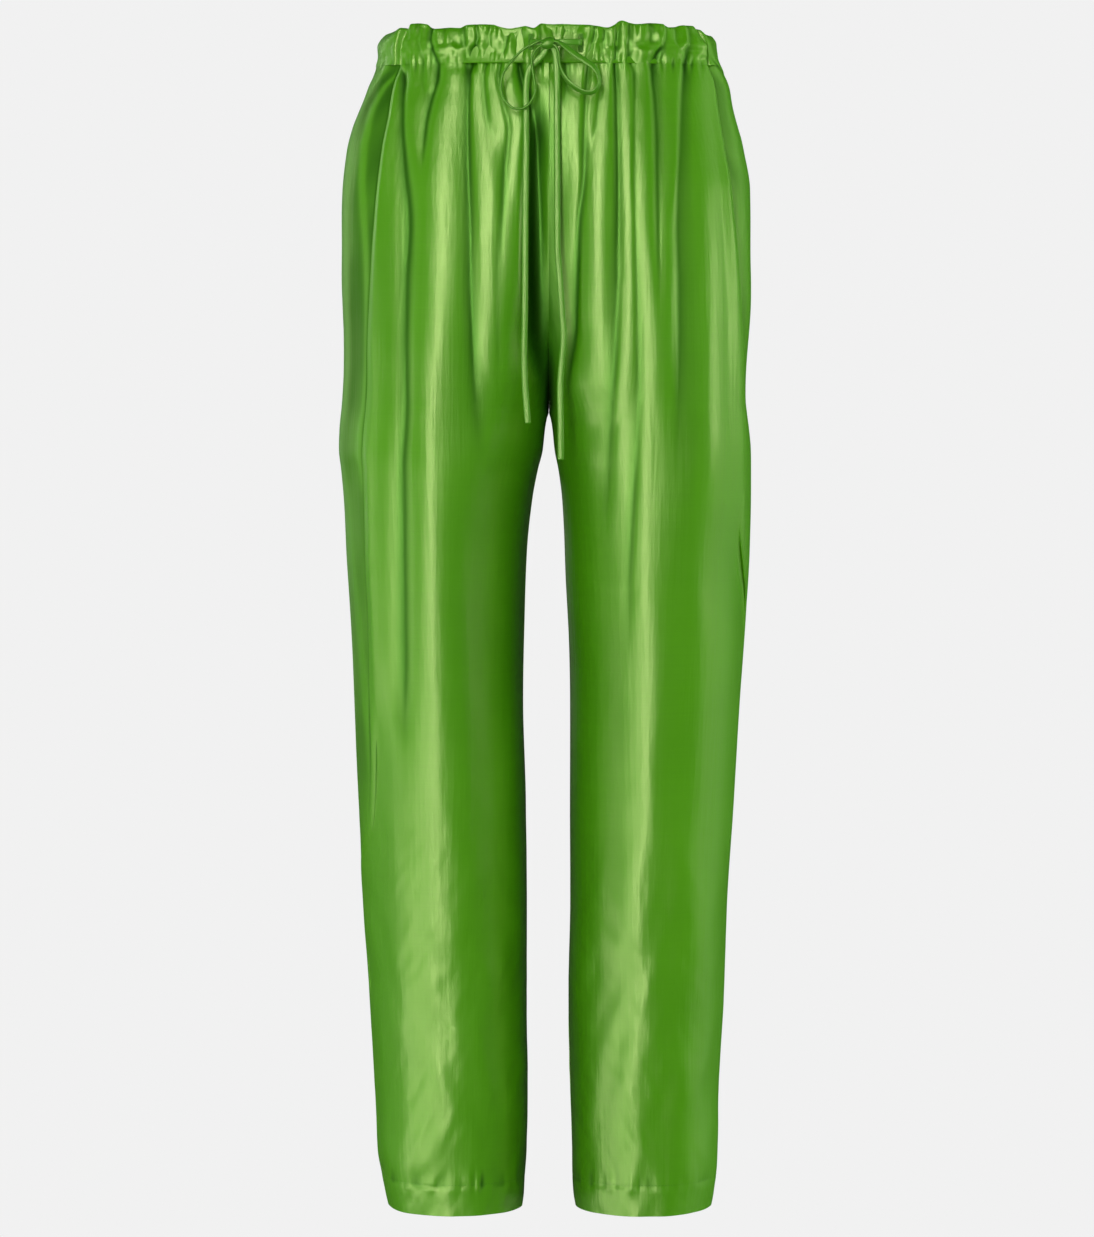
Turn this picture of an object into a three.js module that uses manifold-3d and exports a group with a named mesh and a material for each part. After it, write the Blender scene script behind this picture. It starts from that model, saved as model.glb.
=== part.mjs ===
// Pull-on satin trousers with straight wide legs, worn form, hollow and open at waist and hems.
// Millimetres, +Z up, -Y is the front. The origin is the middle of the waist opening, at mid casing.
// "R" and "L" are the wearer's right (-X) and left (+X).
import * as THREE from 'three';
import { mergeVertices } from 'three/addons/utils/BufferGeometryUtils.js';
import Module from 'manifold-3d';

// ---------------------------------------------------------------- driving dimensions
const CLOTH = 1.5;            // wall of one layer of cloth
const HEM_WALL = 3.0;         // wall where the hem is turned up
const SEAM_GAP = 0.3;         // between two pieces at a seam
const CASING_BOTTOM = -16.8;  // stitch line under the gathered waist casing
const CASING_TOP = 15.5;
const HEM_Z = -1041;
const HEM_DEPTH = 27;
const CROTCH_Z = -322;
const UNDERLAP = 8;           // how far a back panel runs under the front panel at the side seam
const LAP_CLEARANCE = 0.6;    // air between the two layers of that lap
const FRONT_COLUMNS = 20;     // two columns make one gather
const BACK_COLUMNS = 18;
const GATHER_FALL = 105;      // length over which the gathers of a panel die out below the casing
const GATHER_HEIGHT = { front: 2.2, back: 2.2 };
const PUFF = 2.6;             // mean swell of the casing between its two edges
const PUFF_WAVE = 2.8;        // how far its gathers rise and sink from that
const CASING_INSIDE = 3.8;    // depth of the casing behind the body line
const BUTTONHOLE = { width: 3, height: 14, floorY: -91.6, z: 0.8, cutter: 24 };
const TAPE = { width: 6, thick: 1.4 };
const BUTTONHOLE_X = [-15.8, 28];
const KNOT = { x: -0.6, y: -107, z: -0.4, halfX: 6, halfY: 4.2, halfZ: 4, bevel: 1.3, corner: 1 };

// ---------------------------------------------------------------- tables
const table = (columns, rows) =>
  rows.map((row) => Object.fromEntries(columns.map((name, i) => [name, row[i]])));

// Cross-sections from waist to hem. outR, outL: half widths; inR, inL: half the gap between the legs;
// front, back: depths from the middle line; middle: that line's y; share: 0 one oval, 1 two legs;
// square: exponent of the oval, 2 is an ellipse.
const SECTIONS = table(
  ['z', 'outR', 'outL', 'inR', 'inL', 'front', 'back', 'middle', 'share', 'square'],
  [
    [22, 138, 136.5, 0, 0, 90, 88, 0, 0, 2.2],
    [2, 144.5, 143, 0, 0, 92, 91, 0, 0, 2.2],
    [-17, 148, 149, 0, 0, 94, 95, 0, 0.02, 2.2],
    [-37, 158, 158, 0, 0, 98, 103, 1, 0.06, 2.25],
    [-55, 165, 161.5, 0, 0, 102, 111, 1, 0.12, 2.3],
    [-73, 171, 165.5, 0, 0, 105.5, 118, 2, 0.2, 2.3],
    [-91, 175.5, 169.5, 0, 0, 108.5, 124, 2, 0.29, 2.3],
    [-126, 179.5, 175.5, 0, 0, 114, 130, 3, 0.46, 2.3],
    [-180, 181.5, 176, 0, 0, 118, 133, 4, 0.66, 2.3],
    [-225, 182.5, 177, 0, 0, 119, 130, 5, 0.79, 2.25],
    [-270, 183.5, 178, 0, 0, 118.5, 124, 6, 0.9, 2.2],
    [-300, 184, 178.8, 0, 0, 117.5, 119, 6, 0.955, 2.15],
    [-314, 184.5, 179.2, 0, 0, 117, 116.5, 6, 0.985, 2.12],
    [-319, 184.8, 179.5, 0, 0, 117, 115.5, 6, 0.996, 2.1],
    [-322, 185, 179.8, 0, 0, 117, 115, 6, 1, 2.1],
    [-330, 185.8, 180.3, 2.2, 2.6, 116.5, 113.5, 6, 1, 2.1],
    [-341, 186.8, 180.9, 3.8, 4.4, 116, 112, 6, 1, 2.1],
    [-359, 187.6, 181.5, 5.4, 6.3, 115, 109.5, 6, 1, 2.1],
    [-377, 186, 181.5, 9.9, 9.9, 114, 107.5, 6, 1, 2.1],
    [-404, 184.3, 181.6, 15, 13.5, 112.5, 105, 6, 1, 2.1],
    [-449, 182.6, 180.8, 19.8, 16.2, 109.5, 101, 6, 1, 2.1],
    [-494, 180, 178.2, 21.6, 17.1, 106.5, 98, 6, 1, 2.1],
    [-585, 175.6, 171.1, 23.2, 19, 100.5, 92, 6, 1, 2.1],
    [-675, 172.2, 165.9, 20.8, 19, 95, 87, 6, 1, 2.1],
    [-765, 167.6, 160.2, 20, 19, 90, 82.5, 5, 1, 2.1],
    [-856, 161.7, 157.2, 20, 17.6, 85, 79, 4, 1, 2.1],
    [-947, 156.5, 152.2, 19.2, 19.6, 80.5, 76.5, 3, 1, 2.1],
    [-993, 154.4, 151.6, 20.4, 20.9, 78, 75.5, 2, 1, 2.1],
    [-1016, 150.3, 149.8, 22, 21.2, 76.5, 75, 1, 1, 2.1],
    [-1031, 147, 147.2, 23, 22.2, 75.5, 74.5, 1, 1, 2.1],
    [HEM_Z, 144.6, 145.2, 24.5, 24, 75, 74, 1, 1, 2.1],
  ],
);

// Side seams: how many degrees in front of the widest point they run, and how far the front panel's
// edge stands off there beside the lap itself (the slack mouth at hip height).
const SIDE_SEAMS = table(
  ['z', 'R', 'L', 'slackR', 'slackL'],
  [
    [22, 29, 25, 0, 0],
    [-17, 30, 26, 0, 0],
    [-70, 34, 27, 0.2, 0.4],
    [-126, 36, 31, 0.8, 1.6],
    [-190, 38, 30, 1.4, 2.6],
    [-250, 40, 29, 1, 2],
    [-312, 41, 27, 0.3, 0.6],
    [-422, 42, 27, 0, 0],
    [-460, 42, 19, 0, 0],
    [-500, 42, 4, 0, 0],
    [-585, 40, 0, 0, 0],
    [-640, 38, 0, 0, 0],
    [-690, 32, 0, 0, 0],
    [-730, 9, 0, 0, 0],
    [-765, 0, 0, 0, 0],
    [HEM_Z, 0, 0, 0, 0],
  ],
);

// Largest folds. x is the distance from the centre line at the fold's top and end, width its half
// width, height positive for a ridge and negative for a trough.
const FOLDS = table(
  ['side', 'face', 'top', 'xTop', 'end', 'xEnd', 'width', 'height'],
  [
    ['R', 'front', -18, 116, -110, 118, 10, 2.2],
    ['R', 'front', -18, 90, -150, 98, 14, 2.4],
    ['R', 'front', -120, 98, -420, 95, 20, 2.6],
    ['R', 'front', -18, 71, -170, 70, 9, -2.2],
    ['R', 'front', -30, 62, -330, 47, 11, 2.6],
    ['R', 'front', -120, 28, -360, 43, 11, 2.8],
    ['R', 'front', -18, 46, -80, 44, 8, -2],
    ['R', 'front', -40, 15, -200, 15, 8, -2.2],
    ['R', 'front', -90, 127, -420, 130, 12, -2],
    ['L', 'front', -60, 12, -240, 16, 9, 1.2],
    ['L', 'front', -80, 34, -300, 18, 10, -1.8],
    ['L', 'front', -120, 26, -400, 43, 9, 2.8],
    ['L', 'front', -18, 51, -100, 47, 8, 2],
    ['L', 'front', -60, 61, -400, 48, 8, -2.4],
    ['L', 'front', -130, 66, -440, 51, 9, 2.8],
    ['L', 'front', -60, 74, -220, 75, 8, -1.8],
    ['L', 'front', -18, 83, -420, 86, 16, 2.6],
    ['L', 'front', -18, 96, -220, 100, 8, -2],
    ['L', 'front', -30, 108, -160, 112, 10, 2],
    ['L', 'front', -170, 141, -400, 147, 10, 2],
    ['R', 'back', -18, 112, -200, 118, 13, 2.4],
    ['R', 'back', -30, 88, -330, 92, 12, -2.4],
    ['R', 'back', -18, 62, -260, 70, 12, 2.6],
    ['R', 'back', -60, 36, -330, 48, 12, -2.2],
    ['L', 'back', -18, 118, -220, 120, 13, 2.2],
    ['L', 'back', -40, 94, -300, 96, 12, -2.4],
    ['L', 'back', -18, 66, -300, 74, 13, 2.6],
    ['L', 'back', -50, 40, -340, 50, 12, -2.4],
  ],
);

// Levels of the panels' rings, from the casing's stitch line to the hem.
const RINGS = [
  CASING_BOTTOM - SEAM_GAP, -24, -33, -46, -62, -82, -106, -134, -166, -200, -234, -264, -288, -304,
  -314, -319, CROTCH_Z, -327, -336, -350, -372, -404, -450, -510, -585, -670, -765, -860, -950,
  HEM_Z + HEM_DEPTH + 0.6, HEM_Z + HEM_DEPTH, HEM_Z + 11, HEM_Z,
];

// Drawstring routes, chosen by hand: x, y, z and turn, the tape's angle in degrees, 0 edge-on to the
// front and 90 flat to it.
const ROUTES = {
  tie_right: [
    [-15.8, -92.6, 0.8, 90], [-15.8, -97.5, 0.8, 90], [-13.6, -101.6, 0.8, 90],
    [-10.4, -103.6, 0.6, 90], [-7, -104.4, 0.4, 90],
  ],
  tie_left: [
    [28, -92.2, 0.8, 90], [27.9, -97.5, 0.8, 90], [25, -101.6, 0.9, 90],
    [18, -103.8, 0.8, 90], [11, -104.4, 0.5, 90], [5.8, -104.6, 0.4, 90],
  ],
  bow_loop_right: [
    [-7, -109, 1.6, 0], [-12.3, -109, -0.5, 0], [-21.9, -109, -5.4, 0], [-28.5, -109, -11.4, 0],
    [-35.1, -109.3, -19, 0], [-39.9, -109.8, -26, 0], [-42.1, -110.4, -34.8, 0],
    [-41.7, -111.1, -43.5, 0], [-38.6, -111.8, -50.5, 0], [-32.4, -112.4, -56.6, 0],
    [-25.4, -112.5, -57.9, 0], [-18.4, -112.3, -54.4, 0], [-14, -111.7, -47.8, 0],
    [-12.3, -111, -40.9, 0], [-13.2, -110.2, -31.3, 0], [-14.9, -109.4, -21.7, 0],
    [-15.2, -109, -13.7, 0], [-12, -109, -7, 0], [-7, -109, -2.6, 0],
  ],
  bow_loop_left: [
    [5.8, -109, 1.6, 10], [13, -109, -2.4, 40], [21.9, -109, -9.2, 58], [33.3, -109.6, -16.8, 58],
    [40.3, -110, -22.4, 45], [43.9, -110.4, -31.3, 30], [43, -110.8, -38.2, 30],
    [38.6, -111, -43, 40], [32.4, -111, -43.6, 45], [24.6, -110.8, -40.2, 45],
    [17.5, -110.3, -34.8, 40], [11.8, -109.7, -26.9, 25], [9, -109.2, -19, 10],
    [8.4, -109, -9.6, 0], [5.8, -109, -3, 0],
  ],
  cord_end_right: [
    [-3.4, -104.5, -5.6, 90], [-5, -104.2, -9.8, 90], [-10, -104.2, -15, 90],
    [-16, -104.3, -21, 90], [-19.2, -104.8, -30, 90], [-20.2, -106, -44, 90],
    [-20.2, -107.8, -60, 90], [-20.2, -111, -85, 90], [-20.5, -115, -115, 90],
    [-20.8, -118.3, -150, 90], [-21, -120, -190, 90], [-21.2, -120.5, -235, 90],
    [-21.8, -120.5, -270, 90], [-21, -120.2, -300, 90], [-18.5, -120, -333, 90],
  ],
  cord_end_left: [
    [4, -104.5, -4.8, 90], [5.6, -104.2, -10, 90], [6.6, -104.5, -20, 90],
    [7, -105.6, -38, 90], [7, -108.2, -62, 90], [7, -111.6, -88, 90], [7.2, -115.4, -118, 90],
    [7.2, -118.5, -152, 90], [7.5, -119.8, -180, 90], [9.6, -120.3, -207, 90],
    [11.5, -120.5, -235, 90], [12.8, -120.6, -258, 90], [9.8, -120.5, -297, 90],
    [10.2, -120.3, -335, 90], [10.3, -120.2, -365, 90],
  ],
};
const ROUTE_STEPS = {
  tie_right: 5, tie_left: 6, bow_loop_right: 18, bow_loop_left: 16, cord_end_right: 15,
  cord_end_left: 16,
};

// ---------------------------------------------------------------- small maths
const SIDES = { R: -1, L: 1 };
const radians = (degrees) => (degrees * Math.PI) / 180;
const smooth = (from, to, value) => THREE.MathUtils.smoothstep(value, from, to);
const mix = THREE.MathUtils.lerp;

// Monotone cubic through a table's column at height z; the rows run downwards.
function sample(rows, column, z) {
  const last = rows.length - 1;
  if (z >= rows[0].z) return rows[0][column];
  if (z <= rows[last].z) return rows[last][column];
  const i = rows.findIndex((row) => row.z <= z) - 1;
  const slope = (k) => (rows[k + 1][column] - rows[k][column]) / (rows[k + 1].z - rows[k].z);
  const tangent = (k) => {
    if (k === 0) return slope(0);
    if (k === last) return slope(last - 1);
    const before = slope(k - 1);
    const after = slope(k);
    return before * after <= 0 ? 0 : (2 * before * after) / (before + after);
  };
  const span = rows[i + 1].z - rows[i].z;
  const t = (z - rows[i].z) / span;
  const t2 = t * t;
  const t3 = t2 * t;
  return (2 * t3 - 3 * t2 + 1) * rows[i][column] + (t3 - 2 * t2 + t) * span * tangent(i)
    + (3 * t2 - 2 * t3) * rows[i + 1][column] + (t3 - t2) * span * tangent(i + 1);
}

// ---------------------------------------------------------------- body form
// The oval of one side at height z: its centre and radii. Above the crotch it is cut at x = 0.
function section(side, z) {
  const share = Math.min(1, sample(SECTIONS, 'share', z));
  const out = sample(SECTIONS, `out${side}`, z);
  const inner = sample(SECTIONS, `in${side}`, z);
  const centre = (share * (out + inner)) / 2;
  return {
    centre,
    radius: out - centre,
    middle: sample(SECTIONS, 'middle', z),
    front: sample(SECTIONS, 'front', z),
    back: sample(SECTIONS, 'back', z),
    square: sample(SECTIONS, 'square', z),
  };
}

// Angle, in degrees from the widest point, at which the oval meets the centre line or the inseam.
function innerAngle(side, z) {
  const { centre, radius, square } = section(side, z);
  const reach = (centre - SEAM_GAP / 2) / radius;
  if (reach >= 1) return 180;
  return 180 - (Math.acos(Math.sign(reach) * Math.abs(reach) ** (square / 2)) * 180) / Math.PI;
}

// Point of the body form at an angle (negative is the front), moved out by off along its normal.
function surface(side, angle, z, off) {
  const { centre, radius, middle, front, back, square } = section(side, z);
  const turn = radians(angle);
  const depth = (turn < 0 ? front : back) + (turn < 0 ? middle : -middle);
  const power = 2 / square;
  const cx = Math.sign(Math.cos(turn)) * Math.abs(Math.cos(turn)) ** power;
  const cy = Math.sign(Math.sin(turn)) * Math.abs(Math.sin(turn)) ** power;
  const nx = (Math.sign(cx) * Math.abs(cx) ** (square - 1)) / radius;
  const ny = (Math.sign(cy) * Math.abs(cy) ** (square - 1)) / depth;
  const length = Math.hypot(nx, ny);
  const x = Math.max(SEAM_GAP / 2, centre + radius * cx + (off * nx) / length);
  return new THREE.Vector3(SIDES[side] * x, middle + depth * cy + (off * ny) / length, z);
}

// Height of the table's folds at a point of one panel.
function foldHeight(side, face, x, z) {
  let height = 0;
  for (const fold of FOLDS) {
    if (fold.side !== side || fold.face !== face || z > fold.top || z < fold.end) continue;
    const along = (fold.top - z) / (fold.top - fold.end);
    const across = (x - mix(fold.xTop, fold.xEnd, along)) / fold.width;
    if (Math.abs(across) >= 1) continue;
    height += fold.height * smooth(0, 0.18, along) * (1 - smooth(0.6, 1, along))
      * (1 - across * across) ** 2;
  }
  return height;
}

// ---------------------------------------------------------------- closed bodies from rings
// Geometry of a closed body from its triangles, with faces pointing out.
function closedBody(positions, triangles) {
  const geometry = new THREE.BufferGeometry();
  geometry.setAttribute('position', new THREE.Float32BufferAttribute(positions, 3));
  const [a, b, c] = [new THREE.Vector3(), new THREE.Vector3(), new THREE.Vector3()];
  const at = (target, k) => target.fromArray(positions, 3 * k);
  const volume = triangles.reduce(
    (sum, [i, j, k]) => sum + at(a, i).dot(at(b, j).cross(at(c, k))), 0);
  const order = volume > 0 ? triangles : triangles.map(([i, j, k]) => [i, k, j]);
  geometry.setIndex(order.flat());
  return geometry;
}

// A wall from a grid of { outer, inner } points: two faces and a strip round the edge.
function wall(grid) {
  const rows = grid.length;
  const columns = grid[0].length;
  const layer = rows * columns;
  const positions = ['outer', 'inner'].flatMap((name) =>
    grid.flatMap((row) => row.flatMap((cell) => cell[name].toArray())));
  const triangles = [];
  const quad = (a, b, c, d) => triangles.push([a, b, c], [a, c, d]);
  const id = (r, c) => r * columns + c;
  for (let r = 0; r + 1 < rows; r++) {
    for (let c = 0; c + 1 < columns; c++) {
      quad(id(r, c), id(r, c + 1), id(r + 1, c + 1), id(r + 1, c));
      quad(layer + id(r, c), layer + id(r + 1, c), layer + id(r + 1, c + 1), layer + id(r, c + 1));
    }
    quad(id(r, 0), id(r + 1, 0), layer + id(r + 1, 0), layer + id(r, 0));
    const end = columns - 1;
    quad(id(r + 1, end), id(r, end), layer + id(r, end), layer + id(r + 1, end));
  }
  for (let c = 0; c + 1 < columns; c++) {
    quad(id(0, c + 1), id(0, c), layer + id(0, c), layer + id(0, c + 1));
    const end = rows - 1;
    quad(id(end, c), id(end, c + 1), layer + id(end, c + 1), layer + id(end, c));
  }
  return closedBody(positions, triangles);
}

// A bar from closed loops of points, capped at both ends.
function bar(loops) {
  const size = loops[0].length;
  const positions = loops.flat().flatMap((point) => point.toArray());
  const triangles = [];
  for (let k = 0; k + 1 < loops.length; k++) {
    for (let j = 0; j < size; j++) {
      const next = (j + 1) % size;
      const [a, b] = [k * size + j, k * size + next];
      triangles.push([a, b, b + size], [a, b + size, a + size]);
    }
  }
  const end = (loops.length - 1) * size;
  for (let j = 1; j + 1 < size; j++) {
    triangles.push([0, j + 1, j], [end, end + j, end + j + 1]);
  }
  return closedBody(positions, triangles);
}

// ---------------------------------------------------------------- panels
// Where the columns of gathers lie from the side seam (0) to the centre seam (1), unevenly spaced.
function columnPlaces(count) {
  const places = [0, 0.035, 0.07];
  for (let i = 3; i < count; i++) {
    places.push(0.07 + (0.93 * (i - 2 + 0.22 * Math.sin(2.1 * i))) / (count - 2));
  }
  return [...places, 1];
}

// Rise or fall of a gather column: alternating, of uneven height, flat next to both seams.
function gatherWave(column, count) {
  if (column < 3 || column > count - 1) return 0;
  return (column % 2 ? 1 : -1) * (0.7 + 0.3 * Math.sin(1.7 * column + 0.6));
}

function panelPoint(side, face, column, count, place, z) {
  const seam = sample(SIDE_SEAMS, side, z);
  const inner = innerAngle(side, z);
  const isFront = face === 'front';
  const { radius, front, middle } = section(side, z);
  const degreesPerMm = 180 / Math.PI
    / Math.hypot(radius * Math.sin(radians(seam)), (front + middle) * Math.cos(radians(seam)));
  const start = isFront ? -seam : -seam - UNDERLAP * degreesPerMm;
  const end = isFront ? -inner : inner;
  const halfGap = z <= CROTCH_Z ? (SEAM_GAP / 2) * degreesPerMm * Math.sign(end) : 0;
  const angle = mix(start, end - halfGap, place);
  const plain = surface(side, angle, z, 0);
  const fall = 1 - smooth(0, GATHER_FALL, CASING_BOTTOM - z);
  const nearSeams = smooth(0.02, 0.14, place) * (1 - smooth(0.93, 1, place));
  let off = gatherWave(column, count) * GATHER_HEIGHT[face] * fall
    + foldHeight(side, face, Math.abs(plain.x), z) * nearSeams;
  if (isFront) {
    const lap = CLOTH + LAP_CLEARANCE + sample(SIDE_SEAMS, `slack${side}`, z);
    off += lap * (1 - smooth(0.07, 0.17, place));
  }
  const thick = z <= HEM_Z + HEM_DEPTH ? HEM_WALL : CLOTH;
  const lapThick = isFront ? mix(CLOTH, thick, smooth(0.07, 0.12, place)) : thick;
  return { outer: surface(side, angle, z, off), inner: surface(side, angle, z, off - lapThick) };
}

function panel(side, face) {
  const count = face === 'front' ? FRONT_COLUMNS : BACK_COLUMNS;
  const places = columnPlaces(count);
  return wall(RINGS.map((z) =>
    places.map((place, column) => panelPoint(side, face, column, count, place, z))));
}

// ---------------------------------------------------------------- casing
// Loop of the casing's section: height share, swell share and depth behind the body line.
const CASING_PROFILE = table(
  ['height', 'swell', 'depth'],
  [
    [0, 0.12, 0], [0.22, 0.8, 0], [0.52, 1, 0], [0.82, 0.72, 0], [1, 0.1, 0],
    [0.9, 0, 0.8], [0.5, 0, 1], [0, 0, 0.5],
  ],
);

// One section of the casing. wave runs from -1 in a gather's valley to 1 on its crest.
function casingLoop(side, angle, wave) {
  const top = CASING_TOP + 2.2 * wave;
  return CASING_PROFILE.map(({ height, swell, depth }) => {
    const z = mix(CASING_BOTTOM, top, height);
    const off = depth > 0 ? -depth * CASING_INSIDE : swell * (PUFF + PUFF_WAVE * wave);
    return surface(side, angle, z, off);
  });
}

// Half a casing from the side seam to the centre line; four columns make one gather.
function halfCasing(side, face) {
  const gathers = (face === 'front' ? FRONT_COLUMNS : BACK_COLUMNS) / 2;
  const seam = sample(SIDE_SEAMS, side, 0);
  const gapAngle = 0.08 * (face === 'front' ? -1 : 1);
  const from = -seam + gapAngle;
  const to = (face === 'front' ? -1 : 1) * 90;
  const loops = [];
  for (let k = 0; k <= 4 * gathers; k++) {
    const uneven = k + 0.9 * Math.sin(0.37 * k + SIDES[side]);
    const place = k === 0 || k === 4 * gathers ? k / (4 * gathers) : uneven / (4 * gathers);
    const strength = 0.72 + 0.28 * Math.sin(0.9 * Math.floor(k / 4) + 2 * SIDES[side]);
    const wave = k === 0 ? 0.2 : strength * Math.cos((Math.PI * k) / 2);
    loops.push(casingLoop(side, mix(from, to, THREE.MathUtils.clamp(place, 0, 1)), wave));
  }
  return loops;
}

function casing(face) {
  const right = halfCasing('R', face);
  const left = halfCasing('L', face).slice(0, -1).reverse();
  for (const point of right[right.length - 1]) point.x = 0;
  return bar([...right, ...left]);
}

// Cuts the two upright buttonholes of the drawstring into the front casing.
function cutButtonholes(geometry, wasm) {
  const solid = (source) => {
    const plain = mergeVertices(source);
    return new wasm.Manifold(new wasm.Mesh({
      numProp: 3,
      vertProperties: new Float32Array(plain.attributes.position.array),
      triVerts: new Uint32Array(plain.index.array),
    }));
  };
  let body = solid(geometry);
  for (const x of BUTTONHOLE_X) {
    const { width, height, floorY, z, cutter } = BUTTONHOLE;
    const slot = new THREE.BoxGeometry(width, cutter, height);
    slot.deleteAttribute('normal');
    slot.deleteAttribute('uv');
    slot.translate(x, floorY - cutter / 2, z);
    body = body.subtract(solid(slot));
  }
  const { vertProperties, triVerts } = body.getMesh();
  const cut = new THREE.BufferGeometry();
  cut.setAttribute('position', new THREE.BufferAttribute(vertProperties, 3));
  cut.setIndex(Array.from(triVerts));
  return cut;
}

// ---------------------------------------------------------------- drawstring
// A route for flat tape: its frames keep the tape's width at the turn that the route gives.
class TapeCurve extends THREE.CatmullRomCurve3 {
  constructor(route) {
    super(route.map(([x, y, z]) => new THREE.Vector3(x, y, z)), false, 'centripetal');
    this.turns = route.map((row) => row[3]);
  }

  computeFrenetFrames(segments) {
    const frames = { tangents: [], normals: [], binormals: [] };
    const depth = new THREE.Vector3(0, 1, 0);
    for (let i = 0; i <= segments; i++) {
      const along = this.getUtoTmapping(i / segments) * (this.turns.length - 1);
      const k = Math.min(this.turns.length - 2, Math.floor(along));
      const turn = radians(mix(this.turns[k], this.turns[k + 1], along - k));
      const tangent = this.getTangentAt(i / segments);
      const side = new THREE.Vector3().crossVectors(tangent, depth);
      if (side.length() < 0.5) side.set(0, 0, 1);
      const width = side.normalize().multiplyScalar(Math.sin(turn))
        .addScaledVector(depth, Math.cos(turn));
      width.addScaledVector(tangent, -width.dot(tangent)).normalize();
      frames.tangents.push(tangent);
      frames.normals.push(width);
      frames.binormals.push(new THREE.Vector3().crossVectors(tangent, width));
    }
    return frames;
  }
}

function tape(name) {
  const half = TAPE.width / 2;
  const thin = TAPE.thick / 2;
  const outline = [
    [half, 0], [0.8 * half, thin], [0, thin], [-0.8 * half, thin],
    [-half, 0], [-0.8 * half, -thin], [0, -thin], [0.8 * half, -thin],
  ];
  const shape = new THREE.Shape(outline.map(([x, y]) => new THREE.Vector2(x, y)));
  return new THREE.ExtrudeGeometry(shape, {
    steps: ROUTE_STEPS[name], bevelEnabled: false, extrudePath: new TapeCurve(ROUTES[name]),
  });
}

// The knot: a band with rounded edges, extruded from back to front.
function knot() {
  const { halfX, halfY, halfZ, bevel, corner } = KNOT;
  const shape = new THREE.Shape();
  const [w, h] = [halfX - bevel, halfZ - bevel];
  shape.moveTo(-w + corner, -h);
  shape.lineTo(w - corner, -h);
  shape.lineTo(w, -h + corner);
  shape.lineTo(w, h - corner);
  shape.lineTo(w - corner, h);
  shape.lineTo(-w + corner, h);
  shape.lineTo(-w, h - corner);
  shape.lineTo(-w, -h + corner);
  const band = new THREE.ExtrudeGeometry(shape, {
    depth: 2 * (halfY - bevel), bevelSize: bevel, bevelThickness: bevel, bevelSegments: 1,
  });
  band.translate(0, 0, -(halfY - bevel));
  band.rotateX(Math.PI / 2);
  band.translate(KNOT.x, KNOT.y, KNOT.z);
  return band;
}

// ---------------------------------------------------------------- assembly
const satin = () => new THREE.MeshStandardMaterial({ color: 0x5c9a2c, roughness: 0.36, metalness: 0.35 });
const cordSatin = () => new THREE.MeshStandardMaterial({ color: 0x63a431, roughness: 0.42, metalness: 0.2 });

function part(name, geometry, material) {
  const plain = geometry.clone();
  for (const attribute of ['normal', 'uv']) plain.deleteAttribute(attribute);
  const mesh = new THREE.Mesh(mergeVertices(plain, 1e-4), material);
  mesh.name = name;
  return mesh;
}

const wasm = await Module();
wasm.setup();

const trousers = new THREE.Group();
trousers.add(part('front_right', panel('R', 'front'), satin()));
trousers.add(part('front_left', panel('L', 'front'), satin()));
trousers.add(part('back_right', panel('R', 'back'), satin()));
trousers.add(part('back_left', panel('L', 'back'), satin()));
trousers.add(part('casing_front', cutButtonholes(casing('front'), wasm), satin()));
trousers.add(part('casing_back', casing('back'), satin()));
for (const name of Object.keys(ROUTES)) trousers.add(part(name, tape(name), cordSatin()));
trousers.add(part('bow_knot', knot(), cordSatin()));

export default trousers;
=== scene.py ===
"""Satin drawstring trousers in their worn, filled-out form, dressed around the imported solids.

Lengths are in millimetres, and angles in degrees, unless a docstring or a name says otherwise.
"""

import bisect
import logging
import math
from dataclasses import dataclass, field
from enum import Enum
from typing import Iterable, Sequence

import bpy
import numpy as np
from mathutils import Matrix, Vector
from mathutils.bvhtree import BVHTree


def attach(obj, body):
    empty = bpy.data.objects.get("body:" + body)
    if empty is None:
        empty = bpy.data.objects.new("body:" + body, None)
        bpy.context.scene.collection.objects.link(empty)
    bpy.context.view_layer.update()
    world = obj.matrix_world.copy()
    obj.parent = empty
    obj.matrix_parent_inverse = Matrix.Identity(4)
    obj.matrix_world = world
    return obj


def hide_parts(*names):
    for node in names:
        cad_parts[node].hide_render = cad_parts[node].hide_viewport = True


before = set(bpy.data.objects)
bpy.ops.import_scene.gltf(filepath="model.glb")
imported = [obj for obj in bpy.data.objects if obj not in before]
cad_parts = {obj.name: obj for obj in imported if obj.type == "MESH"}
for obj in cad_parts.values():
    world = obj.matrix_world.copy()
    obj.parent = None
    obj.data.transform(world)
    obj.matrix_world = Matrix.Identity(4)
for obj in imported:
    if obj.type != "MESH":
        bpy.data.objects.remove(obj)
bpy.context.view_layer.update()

log = logging.getLogger("trousers")

Array = np.ndarray
Piece = bpy.types.Object
Material = bpy.types.Material
Socket = bpy.types.NodeSocket

MM = 0.001
BODY = "root"


class Side(Enum):
    """The wearer's side; the value is the sign of x there."""

    RIGHT = -1
    LEFT = 1


class Face(Enum):
    """Front or back of the garment; the value is the sign of y there."""

    FRONT = -1
    BACK = 1


# ------------------------------------------------------------------------------ sizes
CASING_BOTTOM = -16.8
CASING_TOP = 15.5
HEM_Z = -1041.0
HEM_DEPTH = 27.0
HEM_STITCH = 3.0
CROTCH_Z = -322.0
UNDERLAP = 8.0

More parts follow.
